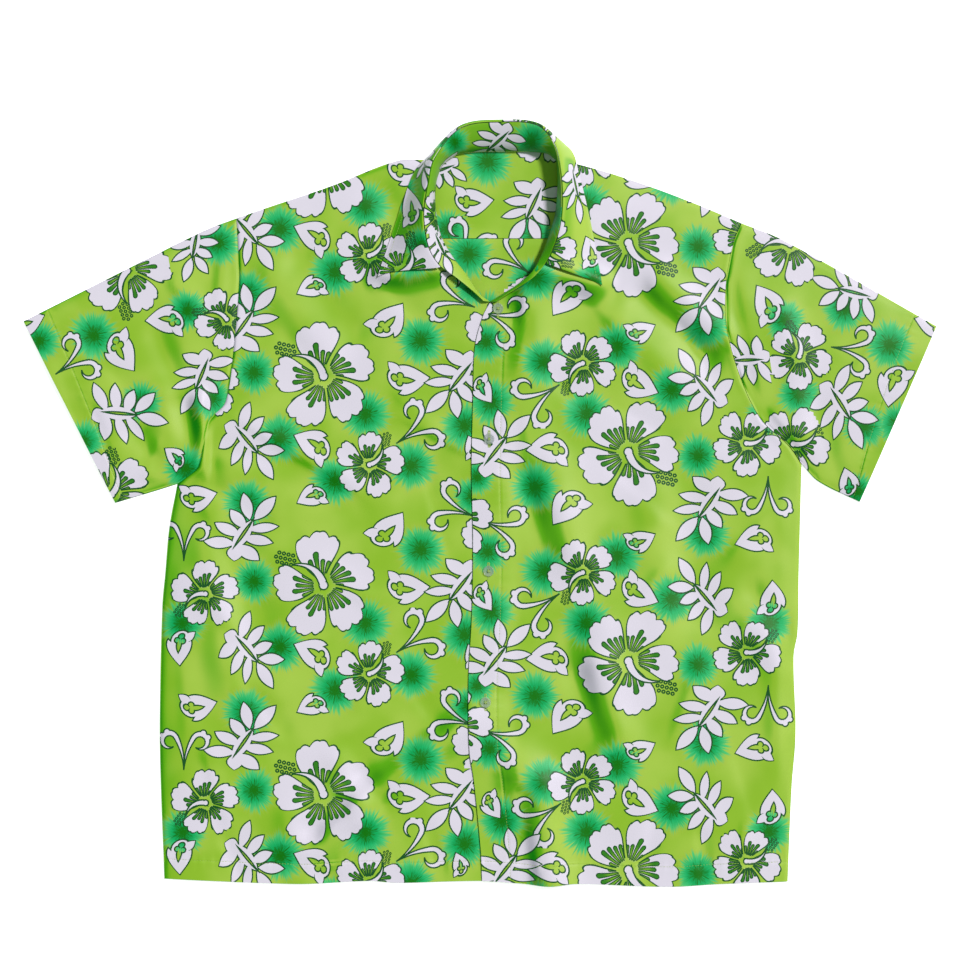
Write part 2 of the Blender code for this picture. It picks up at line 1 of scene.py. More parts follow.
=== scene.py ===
"""A hawaiian shirt laid flat on its back: its cloth, print, sewing and buttons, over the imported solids.

Tables and sizes are in millimetres, and each piece is turned into metres when its mesh is made.
"Left" and "right" name the wearer's sides, so the left front lies at +X, over the right one.
"""

import math
from collections import namedtuple

import bmesh
import bpy
import numpy as np
from mathutils import Matrix, Vector


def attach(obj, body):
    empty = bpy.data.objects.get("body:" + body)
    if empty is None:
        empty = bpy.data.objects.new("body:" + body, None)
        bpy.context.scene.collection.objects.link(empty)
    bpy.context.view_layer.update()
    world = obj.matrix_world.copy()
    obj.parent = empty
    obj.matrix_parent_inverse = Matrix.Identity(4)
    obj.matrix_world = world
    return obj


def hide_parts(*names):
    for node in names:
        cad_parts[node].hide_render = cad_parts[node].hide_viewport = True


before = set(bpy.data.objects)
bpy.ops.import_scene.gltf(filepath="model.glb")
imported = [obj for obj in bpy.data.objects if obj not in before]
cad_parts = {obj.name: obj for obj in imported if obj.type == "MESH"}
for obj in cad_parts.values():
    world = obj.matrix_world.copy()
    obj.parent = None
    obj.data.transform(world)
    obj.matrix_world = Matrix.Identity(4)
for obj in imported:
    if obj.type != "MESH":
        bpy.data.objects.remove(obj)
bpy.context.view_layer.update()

MM = 0.001
CLOTH = 0.7               # one thickness of cloth
COLLAR_CLOTH = 1.3        # two cloths with the stiffening between them
LAID_EDGE = 2.7           # top of the upper cloth at a closed seam
OVERLAP = 32.0            # width of the button stand
HEM_STITCH = 21.0
STAND_STITCH = 30.0
CUFF_STITCH = 23.0
STITCH_PITCH = 3.0
STITCH_LENGTH = 2.4
STITCH_THICK = 0.42
STITCH_LIFT = 0.12
YOKE_SEAM_Y = 279.3
YOKE_TALL = 90.0
UNDERARM_Y = 25.0
NECK_FOOT_Y = 212.0       # where the necklines start, over the first button
SIDE_LONG = 422.0
NECK_TALL = 150.0
FRONT_WIDE = 330.0
TRUE_WIDE = 60.0          # strip beside the button stand that keeps its width on every row
SLEEVE_WIDE = 210.0
SLEEVE_LONG = 205.0
BODY_LOFT = 3.6
SEAM_REACH = 26.0
# Thickness of a wall, side of its faces that it lies on, and the rounding of its rims
BODY_WALL = (CLOTH, -1.0, 0.3)
COLLAR_WALL = (COLLAR_CLOTH, 0.0, 0.4)
BUTTON_RADIUS = 5.75
CAMERA_HEIGHT = 3.2       # in metres, as the width that the camera sees
VIEW_WIDE = 1.0185


def table(*rows):
    """Rows of numbers as an array."""
    return np.array(rows, dtype=float)


SHOULDER_RIGHT = table(
    (-34.7, 361.2), (-64.0, 362.0), (-89.3, 360.2), (-157.5, 333.9), (-225.8, 310.8), (-256.2, 300.3))
SLEEVE_TOP_RIGHT = table(
    (-256.2, 300.3), (-286.7, 288.8), (-346.5, 259.4), (-479.9, 192.2))
SLEEVE_UNDER_RIGHT = table(
    (-318.2, 21.0), (-341.3, 13.7), (-383.3, 1.1))
SIDE_RIGHT = table(
    (-331.8, -393.8), (-336.0, -278.3), (-336.5, -219.5), (-333.9, -107.1), (-330.8, -72.5),
    (-326.6, -25.2), (-318.2, 21.0))
ARMHOLE_RIGHT = table(
    (-318.2, 21.0), (-296.1, 38.9), (-284.6, 87.2), (-267.8, 106.1), (-259.4, 157.5), (-253.1, 237.3),
    (-256.2, 300.3))
SHOULDER_LEFT = table(
    (80.9, 361.2), (99.8, 358.1), (153.3, 342.3), (217.4, 319.2), (275.1, 295.1))
SLEEVE_TOP_LEFT = table(
    (275.1, 295.1), (319.2, 277.2), (479.9, 186.9))
SLEEVE_UNDER_LEFT = table(
    (338.1, 42.0), (354.9, 24.2), (399.0, 2.1))
SIDE_LEFT = table(
    (323.4, -396.9), (327.6, -299.3), (331.8, -240.5), (329.8, -160.0), (333.9, -135.0), (335.0, -77.7),
    (336.5, -18.9), (338.1, 42.0))
ARMHOLE_LEFT = table(
    (338.1, 42.0), (324.0, 62.0), (296.0, 88.0), (275.1, 129.2), (259.4, 182.7), (258.3, 230.0),
    (266.7, 275.1), (275.1, 295.1))
HEM = table(
    (-331.8, -393.8), (-235.2, -398.0), (-178.5, -399.0), (-116.6, -395.9), (-87.2, -398.0),
    (0.0, -395.9), (35.7, -398.0), (71.4, -401.1), (100.8, -399.0), (198.5, -402.2), (257.3, -399.0),
    (323.4, -396.9))
STAND_EDGE = table(
    (2.1, -396.9), (0.5, -362.3), (-6.6, -289.8), (-11.2, -258.3), (-12.1, -184.8), (-8.4, -111.3),
    (-7.4, -37.8), (-8.9, 35.7), (-7.4, 109.2), (-5.3, 164.9), (3.2, 197.4), (10.8, 212.0))
NECK_RIGHT = table(
    (9.6, 212.0), (-1.0, 220.5), (-14.7, 240.5), (-29.4, 259.4), (-41.0, 280.4), (-46.5, 305.0),
    (-46.8, 335.0), (-41.0, 354.0), (-34.7, 361.2))
NECK_LEFT = table(
    (10.8, 212.0), (28.4, 222.6), (43.1, 232.1), (55.7, 243.6), (67.0, 266.0), (78.8, 302.4),
    (81.9, 335.0), (80.9, 361.2))
NECK_BACK = table(
    (-34.7, 361.2), (-20.0, 369.0), (29.4, 370.7), (70.0, 369.0), (80.9, 361.2))
# The lines of each half of the shirt, by the sign of its x
Half = namedtuple("Half", "name shoulder top under seam armhole neck")
HALVES = {
    -1: Half("right", SHOULDER_RIGHT, SLEEVE_TOP_RIGHT, SLEEVE_UNDER_RIGHT, SIDE_RIGHT, ARMHOLE_RIGHT,
             NECK_RIGHT),
    1: Half("left", SHOULDER_LEFT, SLEEVE_TOP_LEFT, SLEEVE_UNDER_LEFT, SIDE_LEFT, ARMHOLE_LEFT, NECK_LEFT)}
CLOSED_SEAMS = [line for half in HALVES.values()
                for line in (half.shoulder, half.top, half.under, half.seam)]

# Folds of the upper cloth: x0, y0, x1, y1, reach across, rise (a trough where it is below zero)
FOLDS = table(
    (171, 216, 238, 154, 14, -3.0), (188, 238, 258, 176, 17, 4.0), (150, 190, 205, 132, 16, 2.0),
    (46, -306, 52, -398, 11, -3.0), (70, -290, 80, -398, 15, 4.0), (101, -181, 124, -240, 14, -2.6),
    (128, -170, 150, -250, 17, 3.0), (46, 25, 71, -48, 14, -2.6), (78, 40, 100, -60, 18, 2.5),
    (290, -95, 332, -140, 13, -2.6), (285, -130, 325, -175, 16, 3.0), (42, 190, 52, 143, 12, -2.4),
    (-123, -285, -102, -314, 13, -2.6), (-150, -270, -128, -330, 16, 2.5),
    (-178, -343, -162, -388, 14, -3.0), (-200, -330, -190, -390, 16, 2.6),
    (-105, 330, -84, 298, 16, -2.4), (-189, 256, -137, 183, 18, -2.6), (-215, 235, -160, 150, 18, 2.8),
    (-310, 101, -290, 44, 13, -3.0), (-330, 110, -315, 50, 14, 4.0), (-358, 72, -341, 44, 12, -2.5),
    (-338, 176, -324, 143, 14, -2.4), (345, 120, 370, 36, 14, -2.6), (318, 200, 345, 80, 18, 3.2),
    (-260, -30, -230, -150, 22, -2.2), (-290, -40, -262, -190, 22, 2.6), (215, 20, 236, -120, 24, -2.2),
    (180, 10, 195, -130, 24, 2.4))

# Creases in the worn cloth: x0, y0, x1, y1, reach on the left or lower side, reach on the other, rise
CREASES = table(
    (53, 262, 45, 134, 12, 26, 7.2), (40, 140, 84, -80, 16, 34, 2.7),
    (116, -110, 134, -264, 20, 30, 3.9), (38, -260, 76, -430, 17, 26, 8.0),
    (6, -212, -126, -312, 15, 24, 6.2), (-112, -300, -182, -376, 14, 24, 5.4),
    (176, 236, 240, 168, 10, 22, 1.8), (-293, 118, -290, 26, 12, 6, 5.6),
    (-328, 122, -312, 40, 14, 14, -2.8), (-257, 92, -122, 10, 6, 14, 1.6),
    (-215, 235, -160, 150, 18, 18, -1.4), (-189, 256, -137, 183, 18, 18, 1.3),
    (-84, 92, -4, 50, 5, 12, 1.1), (300, -70, 318, -300, 15, 12, 2.3),
    (-320, -50, -306, -255, 8, 15, 0.8), (306, 100, 346, 52, 6, 14, 2.4),
    (79, 25, 168, -205, 28, 44, 2.2), (320, 25, 315, -269, 11, 16, 1.4),
    (274, 240, 300, 109, 9, 16, 1.8), (-325, 238, -298, 204, 8, 14, 1.4),
    (-268, 264, -275, 204, 8, 9, 1.7), (-336, 66, -350, 26, 8, 14, 1.6),
    (-283, -100, -250, -145, 6, 12, 1.0), (-300, 30, -215, -28, 7, 14, -1.1),
    (-296, 10, -240, -75, 8, 15, 1.3), (-285, 60, -190, 40, 8, 14, -1.0),
    (318, 38, 240, -10, 8, 14, -1.2), (322, 5, 262, -60, 8, 16, 1.3), (300, 70, 225, 60, 8, 14, -0.9),
    (-210, 180, -150, 120, 7, 13, -1.1), (-120, 250, -60, 190, 8, 14, -1.0),
    (-200, 60, -120, 20, 8, 16, 1.0), (-90, 120, -40, 70, 7, 12, 0.9), (-60, 40, -30, -60, 6, 12, -0.9),
    (-170, -60, -110, -110, 7, 14, 1.0), (-250, -180, -200, -250, 7, 14, -1.0),
    (-290, -250, -262, -340, 7, 12, 1.1), (-80, -180, -40, -240, 7, 12, -0.9),
    (-60, -330, -40, -392, 6, 10, -1.0), (-270, -350, -250, -394, 6, 10, -1.2),
    (60, 150, 110, 100, 8, 14, -1.0), (120, 120, 200, 70, 8, 15, -1.0),
    (140, 40, 210, -20, 8, 14, -0.9), (200, -60, 150, -130, 8, 15, 1.0),
    (230, -170, 200, -260, 8, 15, 1.1), (260, -230, 290, -330, 8, 14, -1.0),
    (190, -300, 170, -396, 7, 12, -1.2), (230, -340, 238, -400, 6, 10, -1.2),
    (280, -330, 270, -396, 6, 10, 1.1), (200, 210, 250, 120, 8, 14, -1.0),
    (110, 230, 160, 160, 8, 14, 1.0), (-420, 180, -360, 110, 8, 14, -1.0),
    (-400, 110, -380, 50, 7, 12, 1.1), (-440, 150, -420, 80, 7, 12, -0.9),
    (420, 170, 370, 110, 8, 14, 1.0), (430, 110, 405, 50, 7, 12, -1.0),
    (380, 210, 330, 170, 8, 14, -0.9))

# Swells of the fronts beneath the leaf's lower edges, in the same columns
SWELLS = table(
    (-114, 241, -34, 248, 15, 13, 7.6), (50, 252, 134, 229, 17, 13, 8.4))

# Shallow creases of the back where it lies on the surface
BACK_CREASES = table(
    (-240, 200, -60, 120, 26, 1.0), (220, 210, 90, 60, 30, 1.0), (-200, 20, -80, -120, 24, 0.9),
    (60, -40, 190, -170, 26, 1.0), (-230, -210, -150, -330, 20, 0.9), (210, -230, 120, -340, 22, 0.9),
    (-20, 150, 10, -20, 20, 0.7), (-40, -200, 20, -330, 18, 0.8))

# Crest of the collar's roll from the right front round the back: along, x, y, z
COLLAR = table(
    (0.00, 3.5, 212.5, 15.0), (0.04, -8.4, 223.5, 16.5), (0.09, -25.2, 237.0, 18.5),
    (0.14, -41.0, 248.5, 20.5), (0.20, -52.5, 266.0, 23.0), (0.26, -57.5, 288.0, 25.0),
    (0.32, -58.0, 311.0, 27.0), (0.37, -54.0, 334.0, 28.5), (0.41, -46.5, 362.0, 28.5),
    (0.45, -20.0, 392.0, 26.0), (0.50, 22.0, 398.5, 24.5), (0.55, 60.0, 395.0, 26.0),
    (0.59, 77.5, 374.0, 30.0), (0.63, 83.5, 347.0, 32.0), (0.68, 85.5, 319.0, 30.5),
    (0.74, 83.5, 292.0, 28.0), (0.80, 77.5, 271.0, 25.5), (0.86, 68.5, 252.0, 23.0),
    (0.91, 55.0, 236.5, 20.5), (0.96, 32.0, 222.0, 18.0), (1.00, 16.0, 211.5, 16.0))

# Outer edge of the leaf: along, x, y, rise of the tip above what it lies on, hang
LEAF = table(
    (0.14, -107.0, 238.0, 2.2, -12.0), (0.20, -102.0, 254.0, 2.0, -12.0),
    (0.26, -96.0, 272.0, 1.4, -11.0), (0.32, -88.0, 297.0, 1.4, -10.0), (0.37, -78.0, 326.0, 1.4, -8.0),
    (0.41, -62.0, 358.0, 1.6, -3.0), (0.45, -20.0, 386.0, 1.0, 10.0), (0.50, 22.0, 381.0, 1.0, 22.0),
    (0.55, 62.0, 386.0, 1.0, 10.0), (0.59, 94.0, 373.0, 4.0, 0.0), (0.63, 104.0, 346.0, 2.6, -6.0),
    (0.68, 111.0, 318.0, 1.4, -8.0), (0.74, 118.0, 286.0, 1.4, -9.0), (0.80, 123.0, 257.0, 2.0, -11.0),
    (0.86, 128.0, 229.0, 2.2, -12.0))

BUTTONS = table(
    (18.9, 205.0), (9.5, 68.3), (8.9, -70.4), (5.8, -207.9))

# The print. One repeat turns about its centre into the other half, and climbs the cloth.
Motif = namedtuple("Motif", "kind x y angle size")


def motifs(**kinds):
    """A chart of the print: for each kind of motif its rows of x, y, angle and size."""
    return [Motif(kind, *row) for kind, rows in kinds.items() for row in rows]


REPEAT = 219.5
REPEAT_CENTRE = (-4.2, -17.3)
BODY_PRINT = motifs(
    hibiscus=[(-160, -68, 145, 55), (-112, -161, 56, 36), (-284, -77, 212, 36)],
    fern=[(-243, -12, 55, 38), (-239, -137, -50, 36), (-18, -71, -128, 38)],
    scroll=[(-59, -122, 34, 29), (-28, 14, 160, 28), (-306, -16, 88, 26)],
    leaf=[(-92, -11, 42, 25), (-73, -71, -6, 25), (-170, -140, 145, 24), (-172, -194, 195, 18),
        (-293, 24, 4, 22), (-311, -132, -100, 21)],
    burst=[(-58, -31, 0, 28), (-116, -108, 70, 28), (-233, -64, 140, 25), (-206, -133, 30, 28),
        (-68, -162, 200, 28), (-148, -178, 250, 28), (-308, -108, 90, 26), (-12, -120, 300, 27),
        (-241, 18, 10, 28)])
# Motifs that each front's own edge cuts through
RIGHT_EDGE_PRINT = motifs(
    hibiscus=[(25, 178, 0, 40), (21, -39, 0, 40), (11, -256, 0, 40)],
    leaf=[(-8, 59, 100, 14), (-8, -160, 100, 14), (-21, -379, 100, 14)],
    burst=[(-8, 228, 0, 22), (-8, 8, 0, 22), (-12, -212, 0, 22)])
LEFT_EDGE_PRINT = motifs(
    hibiscus=[(-27, 202, 136, 42), (-27, -17, 136, 42), (-27, -235, 136, 42)],
    leaf=[(3, 120, -65, 17), (3, -98, -65, 17), (12, -316, -65, 17)],
    burst=[(6, 170, 0, 24), (8, -50, 0, 24), (10, -257, 0, 24), (-3, 28, 0, 20), (-3, -191, 0, 20)])
SLEEVE_RIGHT_PRINT = motifs(
    hibiscus=[(-371, 245, -92, 48), (-266, 194, 165, 34), (-387, 10, 88, 46)],
    fern=[(-376, 95, -5, 38), (-293, 134, -112, 34), (-300, 271, -100, 30)],
    scroll=[(-423, 152, 35, 27)],
    leaf=[(-377, 160, -65, 25), (-320, 49, 130, 15), (-329, 193, 172, 23), (-478, 191, 10, 22)],
    burst=[(-406, 177, 0, 28), (-356, 107, 80, 24), (-309, 37, 160, 26), (-307, 203, 240, 24),
        (-282, 111, 300, 24), (-275, 274, 20, 26), (-463, 171, 60, 24), (-416, 66, 120, 24)])
SLEEVE_LEFT_PRINT = motifs(
    hibiscus=[(326, 273, 190, 44), (335, 155, 105, 36), (329, 63, 30, 40)],
    fern=[(380, 103, -58, 38), (390, 223, 166, 34), (278, 151, 182, 32)],
    scroll=[(396, 161, -8, 27)],
    leaf=[(302, 209, 110, 24), (434, 126, -112, 25), (387, 22, 95, 17), (475, 188, 150, 20)],
    burst=[(320, 193, 0, 24), (335, 115, 60, 25), (383, 205, 120, 26), (430, 167, 180, 28),
        (404, 82, 240, 26), (438, 84, 300, 24), (397, 13, 40, 22)])
YOKE_PRINT = motifs(
    hibiscus=[(66, 390, 200, 34)],
    fern=[(55, 313, -115, 36), (-42, 351, 200, 26)],
    scroll=[(-10, 278, 62, 28)],
    leaf=[(-8, 318, -5, 23)],
    burst=[(8, 360, 0, 28), (-34, 288, 80, 24), (57, 282, 220, 24)])
BACK_NECK_PRINT = motifs(
    scroll=[(29, 259, 145, 28)],
    leaf=[(46, 226, 40, 22)],
    burst=[(-12, 263, 150, 28), (52, 236, 220, 24)])
BAND_PRINT = motifs(
    hibiscus=[(-50, 303, 90, 30)],
    fern=[(17, 387, 225, 30), (-46, 267, -60, 26)],
    leaf=[(-36, 361, 60, 16)],
    burst=[(59, 388, 0, 28), (-36, 388, 70, 22), (84, 303, 140, 26)])
LEAF_PRINT = motifs(
    hibiscus=[(-80, 240, 75, 44), (65, 267, -32, 34), (50, 405, 40, 30)],
    fern=[(-51, 361, -80, 24), (97, 333, -75, 30), (22, 372, 170, 34)],
    leaf=[(-69, 312, 100, 22), (116, 263, 100, 19), (-26, 404, 20, 18)],
    burst=[(-86, 330, 0, 26), (-59, 271, 100, 22), (119, 234, 200, 24), (-20, 392, 50, 24),
        (84, 398, 0, 22)])
LAYERS = {"flowers": ("hibiscus", "fern"), "leaves": ("leaf", "scroll"), "bursts": ("burst",)}
# How far a motif's middle lies ahead of its place, and its length and width, by its size
EXTENTS = {
    "hibiscus": (0.04, 1.0, 1.0), "fern": (0.14, 1.15, 0.95), "leaf": (0.0, 1.0, 0.7),
    "scroll": (-0.2, 0.85, 1.1), "burst": (0, 1, 1), "none": (0, 1, 1)}
NOWHERE = Motif("none", 5000, 5000, 0, 20)


# ---- curves and heights -------------------------------------------------------------------------

def read_curve(xs, ys, at):
    """A smooth curve through the points (xs, ys), read at each value of at."""
    at = np.asarray(at, dtype=float)
    last = len(xs) - 1
    i = np.clip(np.searchsorted(xs, at, side="left") - 1, 0, last - 1)
    before, after = np.maximum(np.arange(last + 1) - 1, 0), np.minimum(np.arange(last + 1) + 1, last)
    slope = (ys[after] - ys[before]) / (xs[after] - xs[before])
    span = xs[i + 1] - xs[i]
    t = np.clip((at - xs[i]) / span, 0, 1)
    return ((2 * t ** 3 - 3 * t ** 2 + 1) * ys[i] + (t ** 3 - 2 * t ** 2 + t) * span * slope[i]
            + (3 * t ** 2 - 2 * t ** 3) * ys[i + 1] + (t ** 3 - t ** 2) * span * slope[i + 1])


def read_rows(rows, at):
    """The further columns of a table, each read as a smooth curve over its first one."""
    return [read_curve(rows[:, 0], column, at) for column in rows.T[1:]]


def x_on(line, y):
    rows = line[np.argsort(line[:, 1])]
    return read_curve(rows[:, 1], rows[:, 0], y)


def y_on(line, x):
    rows = line[np.argsort(line[:, 0])]
    return read_curve(rows[:, 0], rows[:, 1], x)


def joined(*columns):
    """Points, from their columns."""
    return np.stack(columns, axis=-1)


def between(first, last, t):
    """From first to last, by the share t of the way."""
    return first + (last - first) * t


def bell(t):
    return np.exp(-t ** 2)


def eased(t):
    t = np.clip(t, 0, 1)
    return t * t * (3 - 2 * t)


def away_from(x, y, x0, y0, x1, y1):
    dx, dy = x1 - x0, y1 - y0
    t = np.clip(((x - x0) * dx + (y - y0) * dy) / (dx * dx + dy * dy), 0, 1)
    return np.hypot(x - x0 - t * dx, y - y0 - t * dy)


def away_from_edges(x, y, *lines):
    return np.min([away_from(x, y, *a, *b) for line in lines for a, b in zip(line, line[1:])], axis=0)


def folded(x, y, rows):
    """Rise of all the folds in a table."""
    total = np.zeros_like(x)
    for x0, y0, x1, y1, reach, rise in rows:
        total += rise * bell(away_from(x, y, x0, y0, x1, y1) / reach)
    return total


def creased(x, y, rows):
    """Rise of soft creases, each steeper on its left or lower side, fading out at its ends."""
    total = np.zeros_like(x)
    for x0, y0, x1, y1, steep, gentle, rise in rows:
        run_x, run_y = x1 - x0, y1 - y0
        length = math.hypot(run_x, run_y)
        way = math.copysign(1 / length, run_x * 0.3 - run_y * 0.95)
        off = ((y - y0) * run_x - (x - x0) * run_y) * way
        t = ((x - x0) * run_x + (y - y0) * run_y) / length ** 2
        reach = between(steep, gentle, eased(0.5 + off / steep))
        ends = eased((t + 0.15) / 0.35) * eased((1.15 - t) / 0.35)
        total += rise * bell(off / reach) * ends
    return total


def ripple(x, y):
    """Slack that is left all over the cloth."""
    return (0.30 * np.sin(x / 19 + 1.3 * np.sin(y / 41))
            + 0.26 * np.sin(y / 23 + x / 61 + 1.7 * np.sin(x / 37))
            + 0.16 * np.sin(x / 9 - y / 13 + 2.0 * np.sin(y / 29)) + 0.12 * np.sin(x / 15 + y / 8 + 2.2))


def hem_y(x):
    return y_on(HEM, np.clip(x, HEM[0, 0], HEM[-1, 0]))


def upper_line_y(x):
    """The shoulders' and the back neck's line."""
    return np.where(x < NECK_BACK[0, 0], y_on(SHOULDER_RIGHT, x),
                    np.where(x > NECK_BACK[-1, 0], y_on(SHOULDER_LEFT, x), y_on(NECK_BACK, x)))


def from_stand_edge(x, y):
    return x - x_on(STAND_EDGE, np.minimum(y, STAND_EDGE[-1, 1]))


def from_seams(x, y):
    return away_from_edges(x, y, *CLOSED_SEAMS)


def turned_under(past):
    """Rise of a second cloth that ends just past its stitching, drawn in along it."""
    return 0.35 * (1 - eased((past - 0.6) / 1.6)) - 0.4 * bell(past / 0.9)


def puckered(past, waves, rise=0.28):
    return rise * np.sin(waves) * bell(past / 6)


def solid_height(x, y, seam):
    """Top of the solids' upper cloth."""
    loft = BODY_LOFT + 3.0 * bell(np.hypot(x - 15, y - 215) / 150) + folded(x, y, FOLDS)
    loft = loft * (0.55 + 0.45 * eased((y - hem_y(x)) / 90))
    return LAID_EDGE + np.maximum(loft, 0.4) * (1 - np.exp(-seam / SEAM_REACH))


def upper_height(x, y):
    """Top of the upper cloth with its creases, turned down to meet the back at the seams."""
    seam = from_seams(x, y)
    slack = (creased(x, y, CREASES) + creased(x, y, SWELLS) + ripple(x, y)) * (1 - np.exp(-seam / 14))
    return np.maximum(solid_height(x, y, seam) + slack, LAID_EDGE) - 0.62 * bell(seam / 2.2)


def hem_relief(x, y):
    """A turned hem: a second cloth up to the stitching, drawn in along it."""
    past = y - hem_y(x) - HEM_STITCH
    return turned_under(past) + puckered(past, x / 1.5 + 2 * np.sin(x / 17))


def armhole_relief(x, y, armhole):
    """A seam sewn in, drawn down along its line."""
    away = away_from_edges(x, y, armhole)
    return 0.3 * bell((away - 4) / 3) - 0.9 * bell(away / 1.4)


def stand_lift(x, y):
    """The upper front over the lower one, back down beside the stand."""
    beside = from_stand_edge(x, y) - OVERLAP
    return 1.6 * (1 - eased(beside / 20)) * (1 - eased((y - STAND_EDGE[-1, 1]) / 20))


def right_front_height(x, y):
    return upper_height(x, y) + hem_relief(x, y) + armhole_relief(x, y, ARMHOLE_RIGHT)


def left_front_height(x, y):
    past = from_stand_edge(x, y) - STAND_STITCH
    below_neck = 1 - eased((y - 205) / 8)
    facing = turned_under(past) + puckered(past, y / 1.7 + 2 * np.sin(y / 19), 0.2)
    return (upper_height(x, y) + hem_relief(x, y) + armhole_relief(x, y, ARMHOLE_LEFT)
            + stand_lift(x, y) + facing * below_neck)


def solid_left_height(x, y):
    return solid_height(x, y, from_seams(x, y)) + stand_lift(x, y)


def back_height(x, y):
    """Top of the back, which lies on the surface."""
    seam = from_seams(x, y)
    lifted = np.maximum(folded(x, y, BACK_CREASES) + 0.5 * ripple(x, y), 0) * eased((seam - 12) / 40)
    return CLOTH + 0.06 + lifted + 0.58 * bell(seam / 2.2)


# ---- meshes -------------------------------------------------------------------------------------

def finished(builder, name):
    """The mesh that a builder has made."""
    mesh = bpy.data.meshes.new(name)
    builder.to_mesh(mesh)
    builder.free()
    return mesh


def grid_mesh(name, points, drop=None):
    """A mesh in metres over a grid of points, in rows and columns, without the faces in drop."""
    rows, columns = points.shape[:2]
    builder = bmesh.new()
    bmesh.ops.create_grid(builder, x_segments=columns - 1, y_segments=rows - 1, size=0.5)
    if drop is not None:
        middles = [(face, face.calc_center_median()) for face in builder.faces]
        gone = [face for face, at in middles
                if drop[int((at.y + 0.5) * (rows - 1)), int((at.x + 0.5) * (columns - 1))]]
        bmesh.ops.delete(builder, geom=gone, context="FACES")
    mesh = finished(builder, name)
    at = np.empty(len(mesh.vertices) * 3)
    mesh.vertices.foreach_get("co", at)
    at = at.reshape(-1, 3)
    column = np.rint((at[:, 0] + 0.5) * (columns - 1)).astype(int)
    row = np.rint((at[:, 1] + 0.5) * (rows - 1)).astype(int)
    mesh.vertices.foreach_set("co", (points[row, column] * MM).ravel())
    mesh.update()
    return mesh, row, column


def lay_print(mesh, places, chart):
    """Give each face's corners their place in the nearest motif of each layer, and that motif's size."""
    corners = np.empty(len(mesh.loops), dtype=np.int32)
    mesh.loops.foreach_get("vertex_index", corners)
    at = places[corners].reshape(-1, 4, 2)
    middle = at.mean(axis=1)
    for layer, kinds in LAYERS.items():
        motifs = [m for m in chart if m.kind in kinds] + [NOWHERE]
        centre = np.array([(m.x, m.y) for m in motifs], dtype=float)
        size = np.array([m.size for m in motifs], dtype=float)
        turn = np.radians([m.angle for m in motifs])
        code = size * [-1 if m.kind in ("fern", "scroll") else 1 for m in motifs]
        lead, long, wide = np.array([EXTENTS[m.kind] for m in motifs]).T
        x, y = middle[:, :1] - centre[:, 0], middle[:, 1:] - centre[:, 1]
        ahead = (x * np.cos(turn) + y * np.sin(turn)) / size - lead
        aside = (y * np.cos(turn) - x * np.sin(turn)) / size
        chosen = np.hypot(ahead / long, aside / wide).argmin(axis=1)
        off = at - centre[chosen][:, None]
        c, s = np.cos(turn[chosen])[:, None], np.sin(turn[chosen])[:, None]
        scale = size[chosen][:, None]
        codes = np.broadcast_to(code[chosen][:, None], scale.shape[:1] + (4,))
        local = joined((off[..., 0] * c + off[..., 1] * s) / scale,
                       (off[..., 1] * c - off[..., 0] * s) / scale, codes)
        local[..., :2] = np.clip(local[..., :2], -9, 9)
        attribute = mesh.attributes.new(layer, "FLOAT_VECTOR", "CORNER")
        attribute.data.foreach_set("vector", local.ravel())


def repeated(rows, turned=False, shift_y=0.0):
    """One half of the print, or its turned half, up the cloth."""
    way = -1 if turned else 1
    chart = []
    for step in range(-4, 5):
        for m in rows:
            y = REPEAT_CENTRE[1] + step * REPEAT + shift_y + way * m.y
            chart.append(m._replace(x=REPEAT_CENTRE[0] + way * m.x, y=y, angle=m.angle + 90 * (1 - way)))
    return chart


def placed(name, data):
    """A new object in the scene that shows the data."""
    thing = bpy.data.objects.new(name, data)
    bpy.context.scene.collection.objects.link(thing)
    return thing


def show(name, mesh, node, material):
    """Put a finished mesh in the scene in place of a node."""
    mesh.materials.clear()
    mesh.materials.append(material)
    mesh.shade_smooth()
    piece = placed(name, mesh)
    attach(piece, "root")
    if node:
        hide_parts(node)
    return piece


def thicken(piece, thickness, offset, rounding):
    """Give a cloth its thickness, below its faces or on both sides, and round its rims."""
    wall = piece.modifiers.new("thickness", "SOLIDIFY")
    wall.thickness = thickness * MM
    wall.offset = offset
    wall.use_even_offset = False
    rim = piece.modifiers.new("rounded rim", "BEVEL")
    rim.width = rounding * MM
    rim.segments = 2
    rim.limit_method = "ANGLE"
    rim.angle_limit = math.radians(60)


def lay_cloth(name, node, points, places, finish, drop=None, shut=False, wall=BODY_WALL):
    """A piece of cloth over a grid of points, in place of a node, with the print at its places.

    finish: its material and the chart of its print. shut: join its first and last rows.
    """
    mesh, row, column = grid_mesh(name, points, drop)
    material, chart = finish
    lay_print(mesh, places[row, column], chart)
    if shut:
        builder = bmesh.new()
        builder.from_mesh(mesh)
        bmesh.ops.remove_doubles(builder, verts=builder.verts, dist=0.00002)
        builder.to_mesh(mesh)
        builder.free()
    piece = show(name, mesh, node, material)
    thicken(piece, *wall)
    return piece


def lengths_along(line):
    """How far along a line each of its points lies."""
    return np.append(0, np.cumsum(np.linalg.norm(np.diff(line, axis=0), axis=1)))


def read_line(line, lengths, at):
    """The places on a line at the lengths in at."""
    return joined(*(np.interp(at, lengths, column) for column in line.T))


def from_ends(length, near, far, step):
    """Places along a length: the near and far ones as given, evenly spread between them."""
    start, end = near[-1], length - far[-1]
    count = max(int(round((end - start) / step)), 2)
    middle = start + (end - start) * np.arange(1, count) / count
    return np.concatenate([near, middle, length - np.array(far[::-1])])


# Places that close in on a rim, and on a folded edge
RIM = [0.0, 0.4, 1.0, 1.8, 3.0, 5.0]
FOLD = [0, 0.15, 0.4, 0.8, LAID_EDGE / 2, 2.4, 4]
